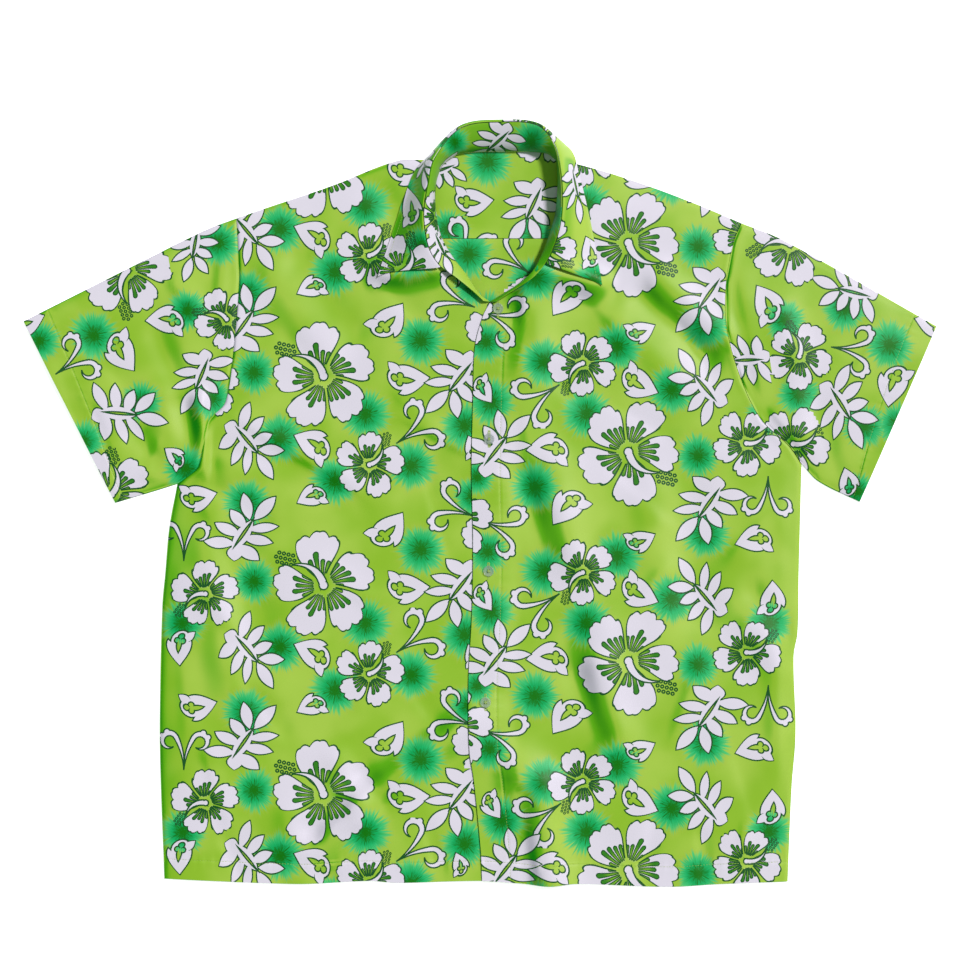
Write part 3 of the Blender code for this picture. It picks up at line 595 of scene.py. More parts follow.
# Columns of the right front that lie under the left one
UNDERLAP = np.array([OVERLAP, 31, 28, 24, 20, 16, 12, 8, 4])


# ---- panels -------------------------------------------------------------------------------------

def outer_line(side, t):
    """Side seam for t from 0 to 1, then the armhole up to 3."""
    seam, arm = HALVES[side].seam, HALVES[side].armhole
    low_y = between(seam[0, 1], seam[-1, 1], np.clip(t, 0, 1))
    arm_y = between(arm[0, 1], arm[-1, 1], np.clip((t - 1) / 2, 0, 1))
    y = np.where(t <= 1, low_y, arm_y)
    return np.where(t <= 1, x_on(seam, low_y), x_on(arm, arm_y)), y


def inner_line(side, t):
    """The free edge of the upper front for t from 0 to 2, then the neckline up to 3."""
    neck = HALVES[side].neck
    y = np.where(t <= 1, between(STAND_EDGE[0, 1], UNDERARM_Y, np.clip(t, 0, 1)),
                 between(UNDERARM_Y, NECK_FOOT_Y, np.clip(t - 1, 0, 1)))
    neck_y = between(NECK_FOOT_Y, neck[-1, 1], np.clip(t - 2, 0, 1) ** 1.5)
    return np.where(t <= 2, x_on(STAND_EDGE, y), x_on(neck, neck_y)), np.where(t <= 2, y, neck_y)


def front_rows():
    """Rows of a front, close together at the hem, its stitching and the shoulder."""
    hem = np.array(RIM + [9, 13, 17, 19.4, 20.2, 21, 21.8, 22.6, 25]) / SIDE_LONG
    low = hem[-1] + (1 - hem[-1]) * np.arange(1, 122) / 122
    middle = 1 + np.arange(0, 62) / 62
    high = 3 - np.array(RIM[::-1]) / NECK_TALL
    top = 2 + (high[0] - 2) * np.arange(0, 46) / 46
    return np.concatenate([hem, low, middle, top, high])


def front_points(side):
    """Plan of a front as rows and columns of places, from the middle outwards."""
    t = front_rows()
    inner_x, inner_y = inner_line(side, t)
    outer_x, outer_y = outer_line(side, t)
    width = np.abs(outer_x - inner_x)
    near = RIM + [9, 14, 19, 24, 27, 29.2, 30, 30.8, 33] if side > 0 else [0, 0.5, 1.5]
    away = from_ends(FRONT_WIDE, near, RIM, 3.1)
    width = width[:, None]
    left_over = (FRONT_WIDE - away) / FRONT_WIDE * (1 - TRUE_WIDE / width) / (1 - TRUE_WIDE / FRONT_WIDE)
    part = np.where(away < TRUE_WIDE, away / width, 1 - left_over)
    x = between(inner_x[:, None], outer_x[:, None], part)
    y = between(inner_y[:, None], outer_y[:, None], part)
    if side < 0:
        x = np.concatenate([inner_x[:, None] + UNDERLAP, x], axis=1)
        y = np.concatenate([np.repeat(inner_y[:, None], len(UNDERLAP), axis=1), y], axis=1)
    shoulder = HALVES[side].shoulder
    (start_x, start_y), (end_x, end_y) = shoulder[0], shoulder[-1]
    straight = start_y + (end_y - start_y) * (x - start_x) / (end_x - start_x)
    y = y + np.clip(t - 2, 0, 1)[:, None] ** 2 * (y_on(shoulder, x) - straight)
    y = y + np.clip(1 - 6 * t, 0, 1)[:, None] * (hem_y(x) - y[0])
    return t, x, y


def make_front(side, *finish):
    t, x, y = front_points(side)
    height = right_front_height if side < 0 else left_front_height
    points = joined(x, y, height(x, y))
    drop = None
    if side < 0:
        drop = np.zeros((points.shape[0] - 1, points.shape[1] - 1), dtype=bool)
        drop[t[:-1] >= 2, :len(UNDERLAP)] = True
        points, drop = points[:, ::-1], drop[:, ::-1]
    name = HALVES[side].name
    return lay_cloth(f"{name}_front", f"front_{name}", points, points[..., :2], finish, drop)


def make_back(*finish):
    """The back, from its hem to just under the yoke's edge, a little inside the fronts' hem."""
    t = front_rows()
    left_x, left_y = outer_line(-1, t)
    right_x, right_y = outer_line(1, t)
    end = YOKE_SEAM_Y + 1.2
    keep = np.minimum(left_y, right_y) < YOKE_SEAM_Y - 5
    sides = []
    for line_x, line_y in ((left_x, left_y), (right_x, right_y)):
        line = joined(line_x, line_y)[keep][::2]
        sides.append(np.append(line, [(np.interp(end, line_y, line_x), end)], axis=0))
    low, high = sides
    part = from_ends(2 * FRONT_WIDE, RIM, RIM, 5.0) / (2 * FRONT_WIDE)
    x = between(low[:, :1], high[:, :1], part)
    y = between(low[:, 1:], high[:, 1:], part)
    settle = np.clip(1 - np.arange(len(y)) / 12, 0, 1)[:, None]
    y = y + settle * (hem_y(x) + 2 - y[0])
    points = joined(x, y, back_height(x, y))
    return lay_cloth("back_panel", "back", points, points[..., :2], finish)


def make_yoke(*finish):
    """The yoke, from its seam to the shoulders and the back of the neck."""
    neck_low, neck_high = NECK_BACK[0, 0], NECK_BACK[-1, 0]
    x_top = np.concatenate([np.linspace(SHOULDER_RIGHT[-1, 0], neck_low, 56)[:-1],
                            np.linspace(neck_low, neck_high, 40),
                            np.linspace(neck_high, SHOULDER_LEFT[-1, 0], 50)[1:]])
    y_top = upper_line_y(x_top)
    first, last = x_on(ARMHOLE_RIGHT, YOKE_SEAM_Y), x_on(ARMHOLE_LEFT, YOKE_SEAM_Y)
    x_low = first + (last - first) * (x_top - x_top[0]) / (x_top[-1] - x_top[0])
    part = from_ends(YOKE_TALL, RIM[:5], RIM, 4.0)[:, None] / YOKE_TALL
    x = between(x_low, x_top, part)
    y = between(YOKE_SEAM_Y, y_top, part)
    turned = 1.1 * bell((y - YOKE_SEAM_Y) / 6)
    points = joined(x, y, back_height(x, y) + turned)
    return lay_cloth("back_yoke", "yoke", points, points[..., :2], finish)


def sleeve_height(x, y, cuff_away):
    past = cuff_away - CUFF_STITCH
    return upper_height(x, y) + turned_under(past) + puckered(past, y / 1.5 + x / 4)


def sleeve_plan(side, across, along):
    """Plan of a sleeve: across from the underarm seam to the fold, along from the armhole to the cuff."""
    half = HALVES[side]
    arm = half.armhole

    def on(line, t):
        x = between(line[0, 0], line[-1, 0], t)
        return joined(x, y_on(line, x))

    fine = np.linspace(arm[0, 1], arm[-1, 1], 400)
    hole = joined(x_on(arm, fine), fine)
    lengths = lengths_along(hole)
    start = read_line(hole, lengths / lengths[-1], across)[:, None]
    low, high = on(half.under, along)[None], on(half.top, along)[None]
    s, t = across[:, None, None], along[None, :, None]
    end = low[:, -1:] * (1 - s) + high[:, -1:] * s
    corners = (low[:, :1] * (1 - s) + high[:, :1] * s) * (1 - t) + end * t
    return start * (1 - t) + end * t + low * (1 - s) + high * s - corners


def make_sleeve(side, *finish):
    """A sleeve as one flattened tube, folded at the top and sewn underneath."""
    half = HALVES[side]
    middle = LAID_EDGE / 2
    across = from_ends(SLEEVE_WIDE, FOLD, FOLD, 3.2) / SLEEVE_WIDE
    cuff = RIM + [9, 14, 19, 21.4, 22.2, 23, 23.8, 24.6, 27]
    along = from_ends(SLEEVE_LONG, RIM[:5], cuff, 3.2) / SLEEVE_LONG
    plan = sleeve_plan(side, across, along)
    x, y = plan[..., 0], plan[..., 1]
    upper = sleeve_height(x, y, (1 - along[None]) * SLEEVE_LONG + 0 * x)
    edge_away = np.minimum(across, 1 - across)[:, None] * SLEEVE_WIDE
    round_off = np.sqrt(np.clip(1 - (1 - np.clip(edge_away / middle, 0, 1)) ** 2, 0, 1))
    flat_top = np.where(edge_away < middle, middle + middle * round_off, np.maximum(upper, LAID_EDGE))
    seam_dip = armhole_relief(x, y, half.armhole)
    turnings = bell((along[None] * SLEEVE_LONG - 2) / 4) * eased((1 - across[:, None]) * 2.5)
    top = flat_top + (np.minimum(seam_dip, 0.1) + max(side, 0) * turnings) * eased(edge_away / 6)
    bottom = middle - middle * round_off + 0 * x
    upper_sheet = joined(x, y, top)
    lower_sheet = joined(x, y, bottom)[::-1]
    points = np.concatenate([upper_sheet, lower_sheet[1:]], axis=0)
    places = fold_over(points, half.top, len(across))
    if side < 0:
        points, places = points[::-1], places[::-1]
    return lay_cloth(f"{half.name}_sleeve", f"sleeve_{half.name}", points, places, finish, shut=True)


def fold_over(points, top, count):
    """Places on the cut sleeve: the rows after count are turned out over the fold line."""
    places = points[..., :2].copy()
    a, b = top[0], top[-1]
    run = (b - a) / np.hypot(*(b - a))
    normal = np.array([-run[1], run[0]])
    off = (places[count:] - a) @ normal
    places[count:] -= 2 * off[..., None] * normal
    return places


# ---- collar -------------------------------------------------------------------------------------

def crest_at(along):
    return joined(*read_rows(COLLAR, along))


def crest_outward(along):
    run = crest_at(np.minimum(along + 0.01, 1)) - crest_at(np.maximum(along - 0.01, 0))
    out = joined(-run[:, 1], run[:, 0], 0 * run[:, 0])
    return out / np.linalg.norm(out, axis=1, keepdims=True)


def curve_through(points, t):
    """Points at t on the curves that lists of control points give."""
    points = [p[:, None, :] for p in points]
    t = np.asarray(t)[None, :, None]
    while len(points) > 1:
        points = [a * (1 - t) + b * t for a, b in zip(points, points[1:])]
    return points[0]


def neck_rim():
    """The rim of the neck from the right front round to the left front, with the cloth's height."""
    y = NECK_FOOT_Y + 149.2 * np.linspace(0, 1, 70) ** 1.3
    right = joined(x_on(NECK_RIGHT, y), y)
    left = joined(x_on(NECK_LEFT, y), y)[::-1]
    x = np.linspace(NECK_BACK[0, 0], NECK_BACK[-1, 0], 60)[1:-1]
    back = joined(x, y_on(NECK_BACK, x))
    z = [upper_height(*right.T), np.full(len(x), CLOTH + 0.1), upper_height(*left.T) + stand_lift(*left.T)]
    rim = np.concatenate([right, back, left])
    rim = np.concatenate([rim, np.concatenate(z)[:, None]], axis=1)
    lengths = lengths_along(rim[:, :2])
    rim = read_line(rim, lengths, np.linspace(0, lengths[-1], 240))
    rim[:, 2] = np.convolve(np.pad(rim[:, 2], 6, mode="edge"), np.ones(13) / 13, mode="valid")
    return rim


def band_points():
    """Rows of the band from its foot up to the crest, with the line of its foot."""
    rim = neck_rim()
    places = np.linspace(0, 1, 600)
    crest = crest_at(places)
    across = rim[:, None, :2] - crest[None, :, :2]
    along = places[np.hypot(across[..., 0], across[..., 1]).argmin(axis=1)]
    along[0], along[-1] = 0, 1
    padded = np.pad(along, 5, mode="reflect", reflect_type="odd")
    along = np.convolve(padded, np.ones(11) / 11, mode="valid")
    crest = crest_at(along)
    foot = rim + [0, 0, 0.2]
    knee = foot + joined(0 * foot[:, 0], 0 * foot[:, 0], (crest[:, 2] - foot[:, 2]) * 0.6)
    return curve_through([foot, knee, crest], np.linspace(0, 1, 15)).transpose(1, 0, 2), foot


def make_band(*finish):
    """The band, which stands on the rim of the neck and leans out to the crest."""
    points, foot = band_points()
    out = points[-1, :, :2] - foot[:, :2]
    out /= np.maximum(np.linalg.norm(out, axis=1, keepdims=True), 0.5)
    steps = np.linalg.norm(np.diff(points, axis=0), axis=2).cumsum(axis=0)
    rise = np.append(np.zeros((1, points.shape[1])), steps, axis=0)
    places = foot[None, :, :2] + out[None] * rise[..., None]
    return lay_cloth("collar_stand", "collar_band", points, places, finish, wall=COLLAR_WALL)


def resting_height(x, y):
    """What the leaf lies on: the fronts, or the surface past the shoulders."""
    seam = from_seams(x, y)
    laid = solid_height(x, y, seam) + creased(x, y, SWELLS) * (1 - np.exp(-seam / 14))
    return np.where(y <= upper_line_y(x), laid, LAID_EDGE * (1 - eased((seam - 3) / 8)))


def leaf_points():
    along = np.linspace(LEAF[0, 0], LEAF[-1, 0], 230)
    outward = crest_outward(along)
    crest = crest_at(along)
    start = crest + outward * 0.8 + [0, 0, 0.9]
    x, y, tip_rise, hang = read_rows(LEAF, along)
    rim = joined(x, y, resting_height(x, y) + tip_rise)
    roll = start + outward * 4 + [0, 0, 1.5]
    held = rim + outward * hang[:, None] + [0, 0, 1]
    t = np.concatenate([np.linspace(0, 0.3, 12)[:-1], np.linspace(0.3, 0.98, 22), [0.987, 0.994, 1.0]])
    return curve_through([start, roll, held, rim], t).transpose(1, 0, 2)


def make_leaf(*finish):
    """The leaf, which rolls over the crest, lies on the fronts and tucks under at the back."""
    points = leaf_points()
    outer = points[-1, :, :2]
    inward = points[0, :, :2] - outer
    inward /= np.linalg.norm(inward, axis=1, keepdims=True)
    steps = np.linalg.norm(np.diff(points, axis=0), axis=2)[::-1].cumsum(axis=0)[::-1]
    back = np.append(steps, np.zeros((1, points.shape[1])), axis=0)
    places = outer[None] + inward[None] * back[..., None]
    return lay_cloth("collar_fall", "collar_leaf", points, places, finish, wall=COLLAR_WALL)


# ---- finishes -----------------------------------------------------------------------------------

# Ways the painted light comes from: slopes facing the first get a painted highlight, and slopes turned from
# either get painted shade
PAINTED_LIGHT_WAY = (0.79, 0.02, 0.61)
PAINTED_LIGHT_WAY_UP = (0.10, 0.74, 0.66)


class Ink:
    """A value or colour in a finish. Arithmetic on it adds Math nodes."""

    def __init__(self, tree, socket):
        self.tree, self.socket = tree, socket

    def node(self, kind, settings, inputs, output=0):
        """Any node: its settings first, then its sockets' values or links."""
        made = self.tree.nodes.new(kind)
        for name, value in settings.items():
            setattr(made, name, value)
        for key, value in inputs.items():
            if isinstance(value, Ink):
                self.tree.links.new(value.socket, made.inputs[key])
            else:
                made.inputs[key].default_value = value
        return Ink(self.tree, made.outputs[output])

    def maths(self, operation, *others):
        return self.node("ShaderNodeMath", {"operation": operation}, dict(enumerate((self, *others))))

    def __rsub__(self, other):
        return self * -1 + other

    def __rtruediv__(self, other):
        return self ** -1 * other

    def __neg__(self):
        return self * -1

    def root(self):
        return self.most(0).maths("SQRT")

    def ramp(self, low, high):
        """0 below low, 1 above high, smooth between."""
        return self.node("ShaderNodeMapRange", {"interpolation_type": "SMOOTHSTEP"},
                         {0: self, 1: low, 2: high, 3: 0.0, 4: 1.0})

    def choose(self, when, other):
        """This value, or the other where when is 1."""
        return self.node("ShaderNodeMix", {"data_type": "FLOAT"}, {0: when, 2: self, 3: other})

    def mix(self, first, second):
        """The first colour, turned to the second by this amount."""
        return self.node("ShaderNodeMix", {"data_type": "RGBA"}, {0: self, 6: first, 7: second}, 2)

    def tint(self, amount, colour):
        """This colour, turned to another by an amount."""
        return amount.mix(self, colour)

    def noise(self, scale, detail=2.0):
        """Noise over these coordinates."""
        return self.node("ShaderNodeTexNoise", {}, {"Vector": self, "Scale": scale, "Detail": detail})

    def facing(self, way):
        """How far this direction faces a way."""
        return self.node("ShaderNodeVectorMath", {"operation": "DOT_PRODUCT"}, {0: self, 1: way}, 1)

    def feed(self, shader, name):
        self.tree.links.new(self.socket, shader.inputs[name])


def operator(operation):
    """A method of Ink that adds one Math node."""
    return lambda ink, *others: ink.maths(operation, *others)


for operation, names in {
        "ADD": ["__add__"], "MULTIPLY": ["__mul__", "__rmul__"], "SUBTRACT": ["__sub__"],
        "DIVIDE": ["__truediv__"], "ABSOLUTE": ["__abs__"], "POWER": ["__pow__"],
        "MULTIPLY_ADD": ["scaled"], "MAXIMUM": ["most"], "MINIMUM": ["least"], "LESS_THAN": ["below"],
        "GREATER_THAN": ["above"], "SINE": ["sine"], "COSINE": ["cosine"], "ROUND": ["nearest"]}.items():
    for name in names:
        setattr(Ink, name, operator(operation))


def rgb(red, green, blue):
    """A colour from its screen values, 0 to 255."""
    def linear(c):
        c /= 255
        return c / 12.92 if c <= 0.04045 else ((c + 0.055) / 1.055) ** 2.4
    return linear(red), linear(green), linear(blue), 1.0


def disc(u, v, x, y, radius):
    """Distance from a disc's rim, below zero inside, as every shape here."""
    u, v = u - x, v - y
    return (u * u + v * v).root() - radius


def blade(u, v, x, y, turn, length, fat, lean=0.0):
    """A pointed leaf shape from (x, y), turned in degrees, fatter towards its tip with more lean."""
    c, s = math.cos(math.radians(turn)), math.sin(math.radians(turn))
    along = u.scaled(c / length, v.scaled(s / length, -(x * c + y * s) / length))
    beside = abs(v.scaled(c, u.scaled(-s, x * s - y * c)))
    return beside - along * (1 - along) * (along.scaled(lean, fat).most(0.3) if lean else fat)


def hibiscus(u, v, seed):
    """Five ruffled petals, the darts in their throats, and the stamen."""
    radius = (u * u + v * v).root()
    angle = v.maths("ARCTAN2", u)
    turn = (angle + radius * 0.22 - (angle - 0.3).cosine() * 0.1) * (5 / math.tau)
    petal = turn.maths("FLOOR")
    across = (turn - petal - 0.5) * 2
    own = petal * (0.4 * math.tau) + seed
    ruffle = abs((across * 5.2 + own).sine()) * 0.07 + abs((across * 11 + own * 2).sine()) * 0.03
    rim = (1 - across * across * 0.85).root() * 0.44 + 0.48 + ruffle + own.sine() * 0.04
    gap = (own + 1.1).sine() * 0.022 + 0.034 + angle.cosine().most(0) ** 20 * radius * 0.1
    side = gap - (1 - abs(across)) * radius * 0.628
    petals = (radius - rim).maths("SMOOTH_MAX", side, 0.36)
    finger = across * 2.7
    index = finger.nearest().most(-2).least(2)
    beside = (finger - index) * radius * 0.233
    reach = (petal * (0.6 * math.tau) + index * 2.3 + seed).sine() * 0.06 + 0.55 - index * index * 0.035
    past = (radius - reach).most(0.21 - radius).most(0)
    dart = (beside * beside + past * past).root() - radius.scaled(0.088, -0.006)
    club = (abs(v - u * (u * 1.13 - 0.78)) * 0.85 - 0.085 + u * 0.105).most(-u).most(u - 0.7)
    return radius, petals, dart.most(petals), club.least(radius - 0.085)


def pollen(u, v):
    """Ringed dots past the stamen's tip: 1 on a ring."""
    a = u.scaled(10.3, v.scaled(4.2, -9.2))
    b = v.scaled(10.3, u.scaled(-4.2, 3.7))
    row = b.nearest()
    off_b = b - row
    shifted = a + row * 0.5
    off_a = shifted - shifted.nearest()
    mid_a, mid_b = (a - off_a) / 2.6, row / 1.4
    ring = abs((off_a * off_a + off_b * off_b).root() - 0.30).below(0.16)
    return ring * (mid_a * mid_a + mid_b * mid_b).below(1)


def fern(u, v):
    """A frond of fanned leaflets, forked at its tip, with a dark vein."""
    w = abs(v)
    slant = v.scaled(0.28, u)
    frond = blade(u, v, -0.66, 0, 0, 1.1, 0.8)
    for x, turn, length, fat in ((0.08, 60, 0.80, 0.58), (-0.16, 81, 0.84, 0.62), (-0.41, 106, 0.82, 0.70)):
        frond = frond.least(blade(slant, w, x, 0, turn, length, fat, 0.1))
    for x, y, turn, length, fat in ((0.40, -0.02, -8, 0.92, 0.74), (0.34, 0.06, 48, 0.80, 0.70),
                                    (-0.44, 0, -150, 0.45, 0.9)):
        frond = frond.least(blade(u, v, x, y, turn, length, fat))
    return frond.most(-blade(u, v, -0.5, 0, 0, 0.9, 0.14))


def small_leaf(u, v):
    """A flame-shaped leaf with barbs, a curled tail and a lobed opening."""
    bent = v - u * u * 0.24 + 0.06
    w = abs(bent)
    uneven = bent.maths("SIGN").scaled(0.08, u - 0.02)
    flame = blade(u, bent, -0.9, 0, 0, 1.88, 3.2, -1.4).most(w * -0.6 - uneven)
    outer = flame.least(disc(u * 0.86, w, -0.24, 0, 0.46))
    outer = outer.least(blade(u, bent, -0.20, 0.18, 152, 0.74, 1.0))
    opening = blade(u, bent, -0.50, 0, 0, 0.86, 0.5)
    for x, y, radius in ((-0.50, 0, 0.15), (-0.27, 0.14, 0.14)):
        opening = opening.least(disc(u, w, x, y, radius))
    return outer.most(-opening)


def scroll(u, v):
    """Two tendrils from one stem, each ending in a hook."""
    w = abs(v)
    arm = abs(disc(u, w, -1.045, 2.69, 2.69)) - ((u + 1) / 1.3).most(0) * 0.10
    arm = arm.most(u - 0.38).most(-1.0 - u)
    du, dw = u - 0.15, w - 0.62
    angle = (dw * 0.383 - du * 0.924).maths("ARCTAN2", du * 0.383 + dw * 0.924)
    lag = (angle + 0.9) / 3.45
    hook = abs(disc(u, w, 0.15, 0.62, 0.30)) - 0.11 * (1 - lag * lag)
    hook = hook.most((abs(angle) - 2.5) * 0.3)
    return arm.least(hook).least(disc(u, w, 0.49, 0.74, 0.13)).least(disc(u, w, 0.33, 0.94, 0.12))


def new_finish(name, settings):
    """A material, its shader with the settings given, a start for its inks and the cloth's own places."""
    material = bpy.data.materials.new(name)
    material.use_nodes = True
    shader = material.node_tree.nodes["Principled BSDF"]
    for setting, value in settings.items():
        shader.inputs[setting].default_value = value
    start = Ink(material.node_tree, None)
    return material, shader, start, start.node("ShaderNodeTexCoord", {}, {}, "Object")


def printed_cloth(name, painted_shade_limit):
    """Lime satin printed with hibiscus, ferns, leaves and scrolls over teal bursts.

    The limits given second: how deep the painted shade may go on slopes that turn from the light, across
    the cloth and down it.
    """
    material, shader, start, where = new_finish(
        name, {"Specular IOR Level": 0.2, "Sheen Weight": 0.05, "Sheen Roughness": 0.4})
    slope = start.node("ShaderNodeTexCoord", {}, {}, "Normal")

    def layer(attribute):
        place = start.node("ShaderNodeAttribute", {"attribute_name": attribute}, {}, 1)
        return [place.node("ShaderNodeSeparateXYZ", {}, {0: place}, i) for i in range(3)]

    # Painted light: how far each slope faces the light, which sets the painted highlight and painted shade
    # below
    facing_light = slope.facing(PAINTED_LIGHT_WAY)
    ground = where.noise(14.0).ramp(0.35, 0.68).mix(rgb(142, 190, 42), rgb(166, 203, 72))
    # Painted highlight on the lime where a slope faces the light
    ground = ground.tint(facing_light.ramp(0.62, 0.80) * 0.45, rgb(178, 208, 86))
    # Painted shade in deep greens where a slope turns from the light, across the cloth or down it, no
    # deeper than the limits given
    facing_light = facing_light.least(slope.facing(PAINTED_LIGHT_WAY_UP).most(painted_shade_limit[1])).most(painted_shade_limit[0])
    ground = ground.tint(facing_light.ramp(0.59, 0.45) * 0.9, rgb(84, 174, 0))
    ground = ground.tint(facing_light.ramp(0.48, 0.20), rgb(8, 132, 0))

    u, v, _ = layer("bursts")
    radius = (u * u + v * v).root()
    spin = u.node("ShaderNodeCombineXYZ", {}, {0: u / (radius + 0.02) * 4, 1: v / (radius + 0.02) * 4})
    rays = spin.noise(2.8, 4.0)
    fine_rays = spin.noise(4.2, 3.0)
    burst = fine_rays.ramp(0.42, 0.64).mix(rgb(0, 170, 88), rgb(30, 196, 122))
    burst = burst.tint(radius.ramp(0.40, 0.90) * 0.65, rgb(96, 208, 122))
    burst = burst.tint((radius - fine_rays * 1.5 + 0.54).ramp(0.24, 0.0), rgb(10, 116, 0))
    # Painted shade on the teal bursts where a slope turns from the light
    burst = burst.tint(facing_light.ramp(0.52, 0.15) * 0.6, rgb(0, 112, 40))
    ground = ground.tint((radius - rays * 1.1 - 0.34).ramp(0.26, -0.08) * 0.3, rgb(176, 190, 76))
    ground = ground.tint((radius - rays * 1.1 - 0.33).ramp(0.08, -0.20), burst)
    # The print's white, with painted grey shade where a slope turns from the light
    white = (facing_light.ramp(0.52, 0.15) * 0.5).mix(rgb(222, 218, 230), rgb(146, 146, 166))

    u, v, size = layer("leaves")
    line = 0.78 / abs(size)
    leaf = small_leaf(u, v).choose(size.below(0), scroll(u, v))
    leaf_ink = abs(leaf).below(line)
    leaf_paper = leaf.below(0)

    u, v, size = layer("flowers")
    line = 0.80 / abs(size)
    is_flower = size.above(0)
    radius, petals, dart, club = hibiscus(u, v, size)
    on_club = is_flower * club.below(line)
    off_club = 1 - on_club
    flower = petals.choose(on_club, club).choose(size.below(0), fern(u, v))
    throat = is_flower * radius.ramp(0.42, 0.14) * off_club
    off_throat = 1 - is_flower * radius.below(0.23) * off_club
    flower_ink = abs(flower).below(line) * off_throat
    dart_in = is_flower * dart.below(0) * off_club
    dart_ink = is_flower * abs(dart).below(line * 0.7) * off_club * petals.below(-line)
    dots = is_flower * pollen(u, v)
    flower_paper = flower.below(0) * (1 - throat)
    bare = 1 - flower.below(line)

    outline = rgb(22, 84, 34)
    darts = radius.ramp(0.3, 0.52).mix(rgb(120, 178, 40), rgb(48, 128, 24))
    colour = ground.tint(leaf_paper * bare, white)
    colour = colour.tint(leaf_ink * bare, outline)
    colour = colour.tint(flower_paper, white)
    colour = colour.tint(dart_in, darts)
    colour = colour.tint(flower_ink.most(dart_ink).most(dots), outline)
    colour.feed(shader, "Base Color")
    crepe = {"Strength": 0.12, "Distance": 0.0004, "Height": where.noise(2600.0)}
    start.node("ShaderNodeBump", {}, crepe).feed(shader, "Normal")
    (where.noise(30.0) * 0.12 + 0.38).feed(shader, "Roughness")
    return material


def mottled(name, scale, first, second, settings):
    """A finish of two shades in fine patches."""
    material, shader, _, where = new_finish(name, settings)
    where.noise(scale).mix(first, second).feed(shader, "Base Color")
    return material


def plain_finish(name, colour, settings):
    darker = tuple(c * 0.8 for c in colour[:3]) + (1.0,)
    return mottled(name, 900.0, darker, colour, settings)


# ---- build --------------------------------------------------------------------------------------

def shifted_left(m):
    """A motif of the left front in its own place: the print doesn't quite match over the stand."""
    low = 12 * math.exp(-(m.x / 40) ** 2) * float(eased((-230 - m.y) / 90))
    return m._replace(x=m.x + 4 * (m.x < 90) + low, y=m.y + 4)


# Each cloth with the limits of its painted shade: the collar's shade is held lighter than the body's
print_cloth = printed_cloth("hibiscus_print_satin", (0.0, 0.2))
collar_cloth = printed_cloth("hibiscus_print_stiffened", (0.35, 0.5))
right_chart = repeated(BODY_PRINT) + RIGHT_EDGE_PRINT
left_chart = [shifted_left(m) for m in repeated(BODY_PRINT, True)] + LEFT_EDGE_PRINT
outside = [m for m in repeated(BODY_PRINT, False, 96) + repeated(BODY_PRINT, True, 96)
           if not (-70 < m.x < 110 and 215 < m.y < 430)]

right_front = make_front(-1, print_cloth, right_chart)
left_front = make_front(1, print_cloth, left_chart)
back = make_back(print_cloth, outside + BACK_NECK_PRINT)
yoke = make_yoke(print_cloth, outside + YOKE_PRINT)
right_sleeve = make_sleeve(-1, print_cloth, SLEEVE_RIGHT_PRINT)
left_sleeve = make_sleeve(1, print_cloth, SLEEVE_LEFT_PRINT)
band = make_band(collar_cloth, BAND_PRINT)
leaf = make_leaf(collar_cloth, LEAF_PRINT)


# ---- sewing and buttons -------------------------------------------------------------------------

def even_places(line, pitch):
    """Points along a line of places, one pitch apart."""
    lengths = lengths_along(line)
    count = int(lengths[-1] // pitch)
    return read_line(line, lengths, (np.arange(count) + 0.5) * lengths[-1] / count)


def bead_mesh():
    builder = bmesh.new()
    bmesh.ops.create_uvsphere(builder, u_segments=6, v_segments=4, radius=0.5)
    return finished(builder, "bead")


BEAD = bead_mesh()


def add_stitch(builder, middle, run, length, thickness):
    """One stitch: a small bead drawn out along its run."""
    turn = Vector(run).normalized().to_track_quat("X", "Z").to_matrix().to_4x4()
    stitch = BEAD.copy()
    size = Matrix.Diagonal((length, thickness, thickness, 1))
    stitch.transform(Matrix.Translation(Vector(middle)) @ turn @ size)
    builder.from_mesh(stitch)
    bpy.data.meshes.remove(stitch)


def show_sewing(name, builder, material):
    """Put a builder's stitches in the scene, turned into metres."""
    mesh = finished(builder, name)
    mesh.transform(Matrix.Scale(MM, 4))
    show(name, mesh, None, material)


def sew(name, lines, material):
    """Rows of stitches along lines of places."""
    builder = bmesh.new()
    for line in lines:
        places = even_places(line, STITCH_PITCH)
        for middle, run in zip(places, np.gradient(places, axis=0)):
            add_stitch(builder, middle, run, STITCH_LENGTH, STITCH_THICK)
    show_sewing(name, builder, material)


def on_top(x, y, height):
    return joined(x, y, height(x, y) + STITCH_LIFT)


def hem_line(x0, x1, height):
    x = np.linspace(x0, x1, 400)
    return on_top(x, y_on(HEM, x) + HEM_STITCH, height)


def stand_line():
    y = np.linspace(STAND_EDGE[0, 1] + 2, 203, 500)
    return on_top(x_on(STAND_EDGE, y) + STAND_STITCH, y, left_front_height)


def cuff_line(side):
    across = np.linspace(0.015, 0.985, 200)
    along = np.append(np.linspace(0, 1 - CUFF_STITCH / SLEEVE_LONG, 40), 1.0)
    plan = sleeve_plan(side, across, along)[:, -2]
    x, y = plan[:, 0], plan[:, 1]
    return on_top(x, y, lambda x, y: sleeve_height(x, y, CUFF_STITCH))


def neck_line(points):
    """A row on the band's inner face, close above the seam at the back of the neck."""
    inner = points[2] + (points[2] - points[14]) * [0.02, 0.02, 0]
    return inner[inner[:, 1] > 352] + [0, -0.85, 0]


def leaf_line(points):
    """A row along the leaf, a little way in from its edge."""
    line = []
    for column in range(3, points.shape[1] - 3):
        rows = points[::-1, column]
        line.append(read_line(rows, lengths_along(rows), 5.5))
    return np.array(line) + [0, 0, COLLAR_CLOTH / 2 + STITCH_LIFT]


def front_top(x, y):
    return left_front_height(np.array([x]), np.array([y]))[0]


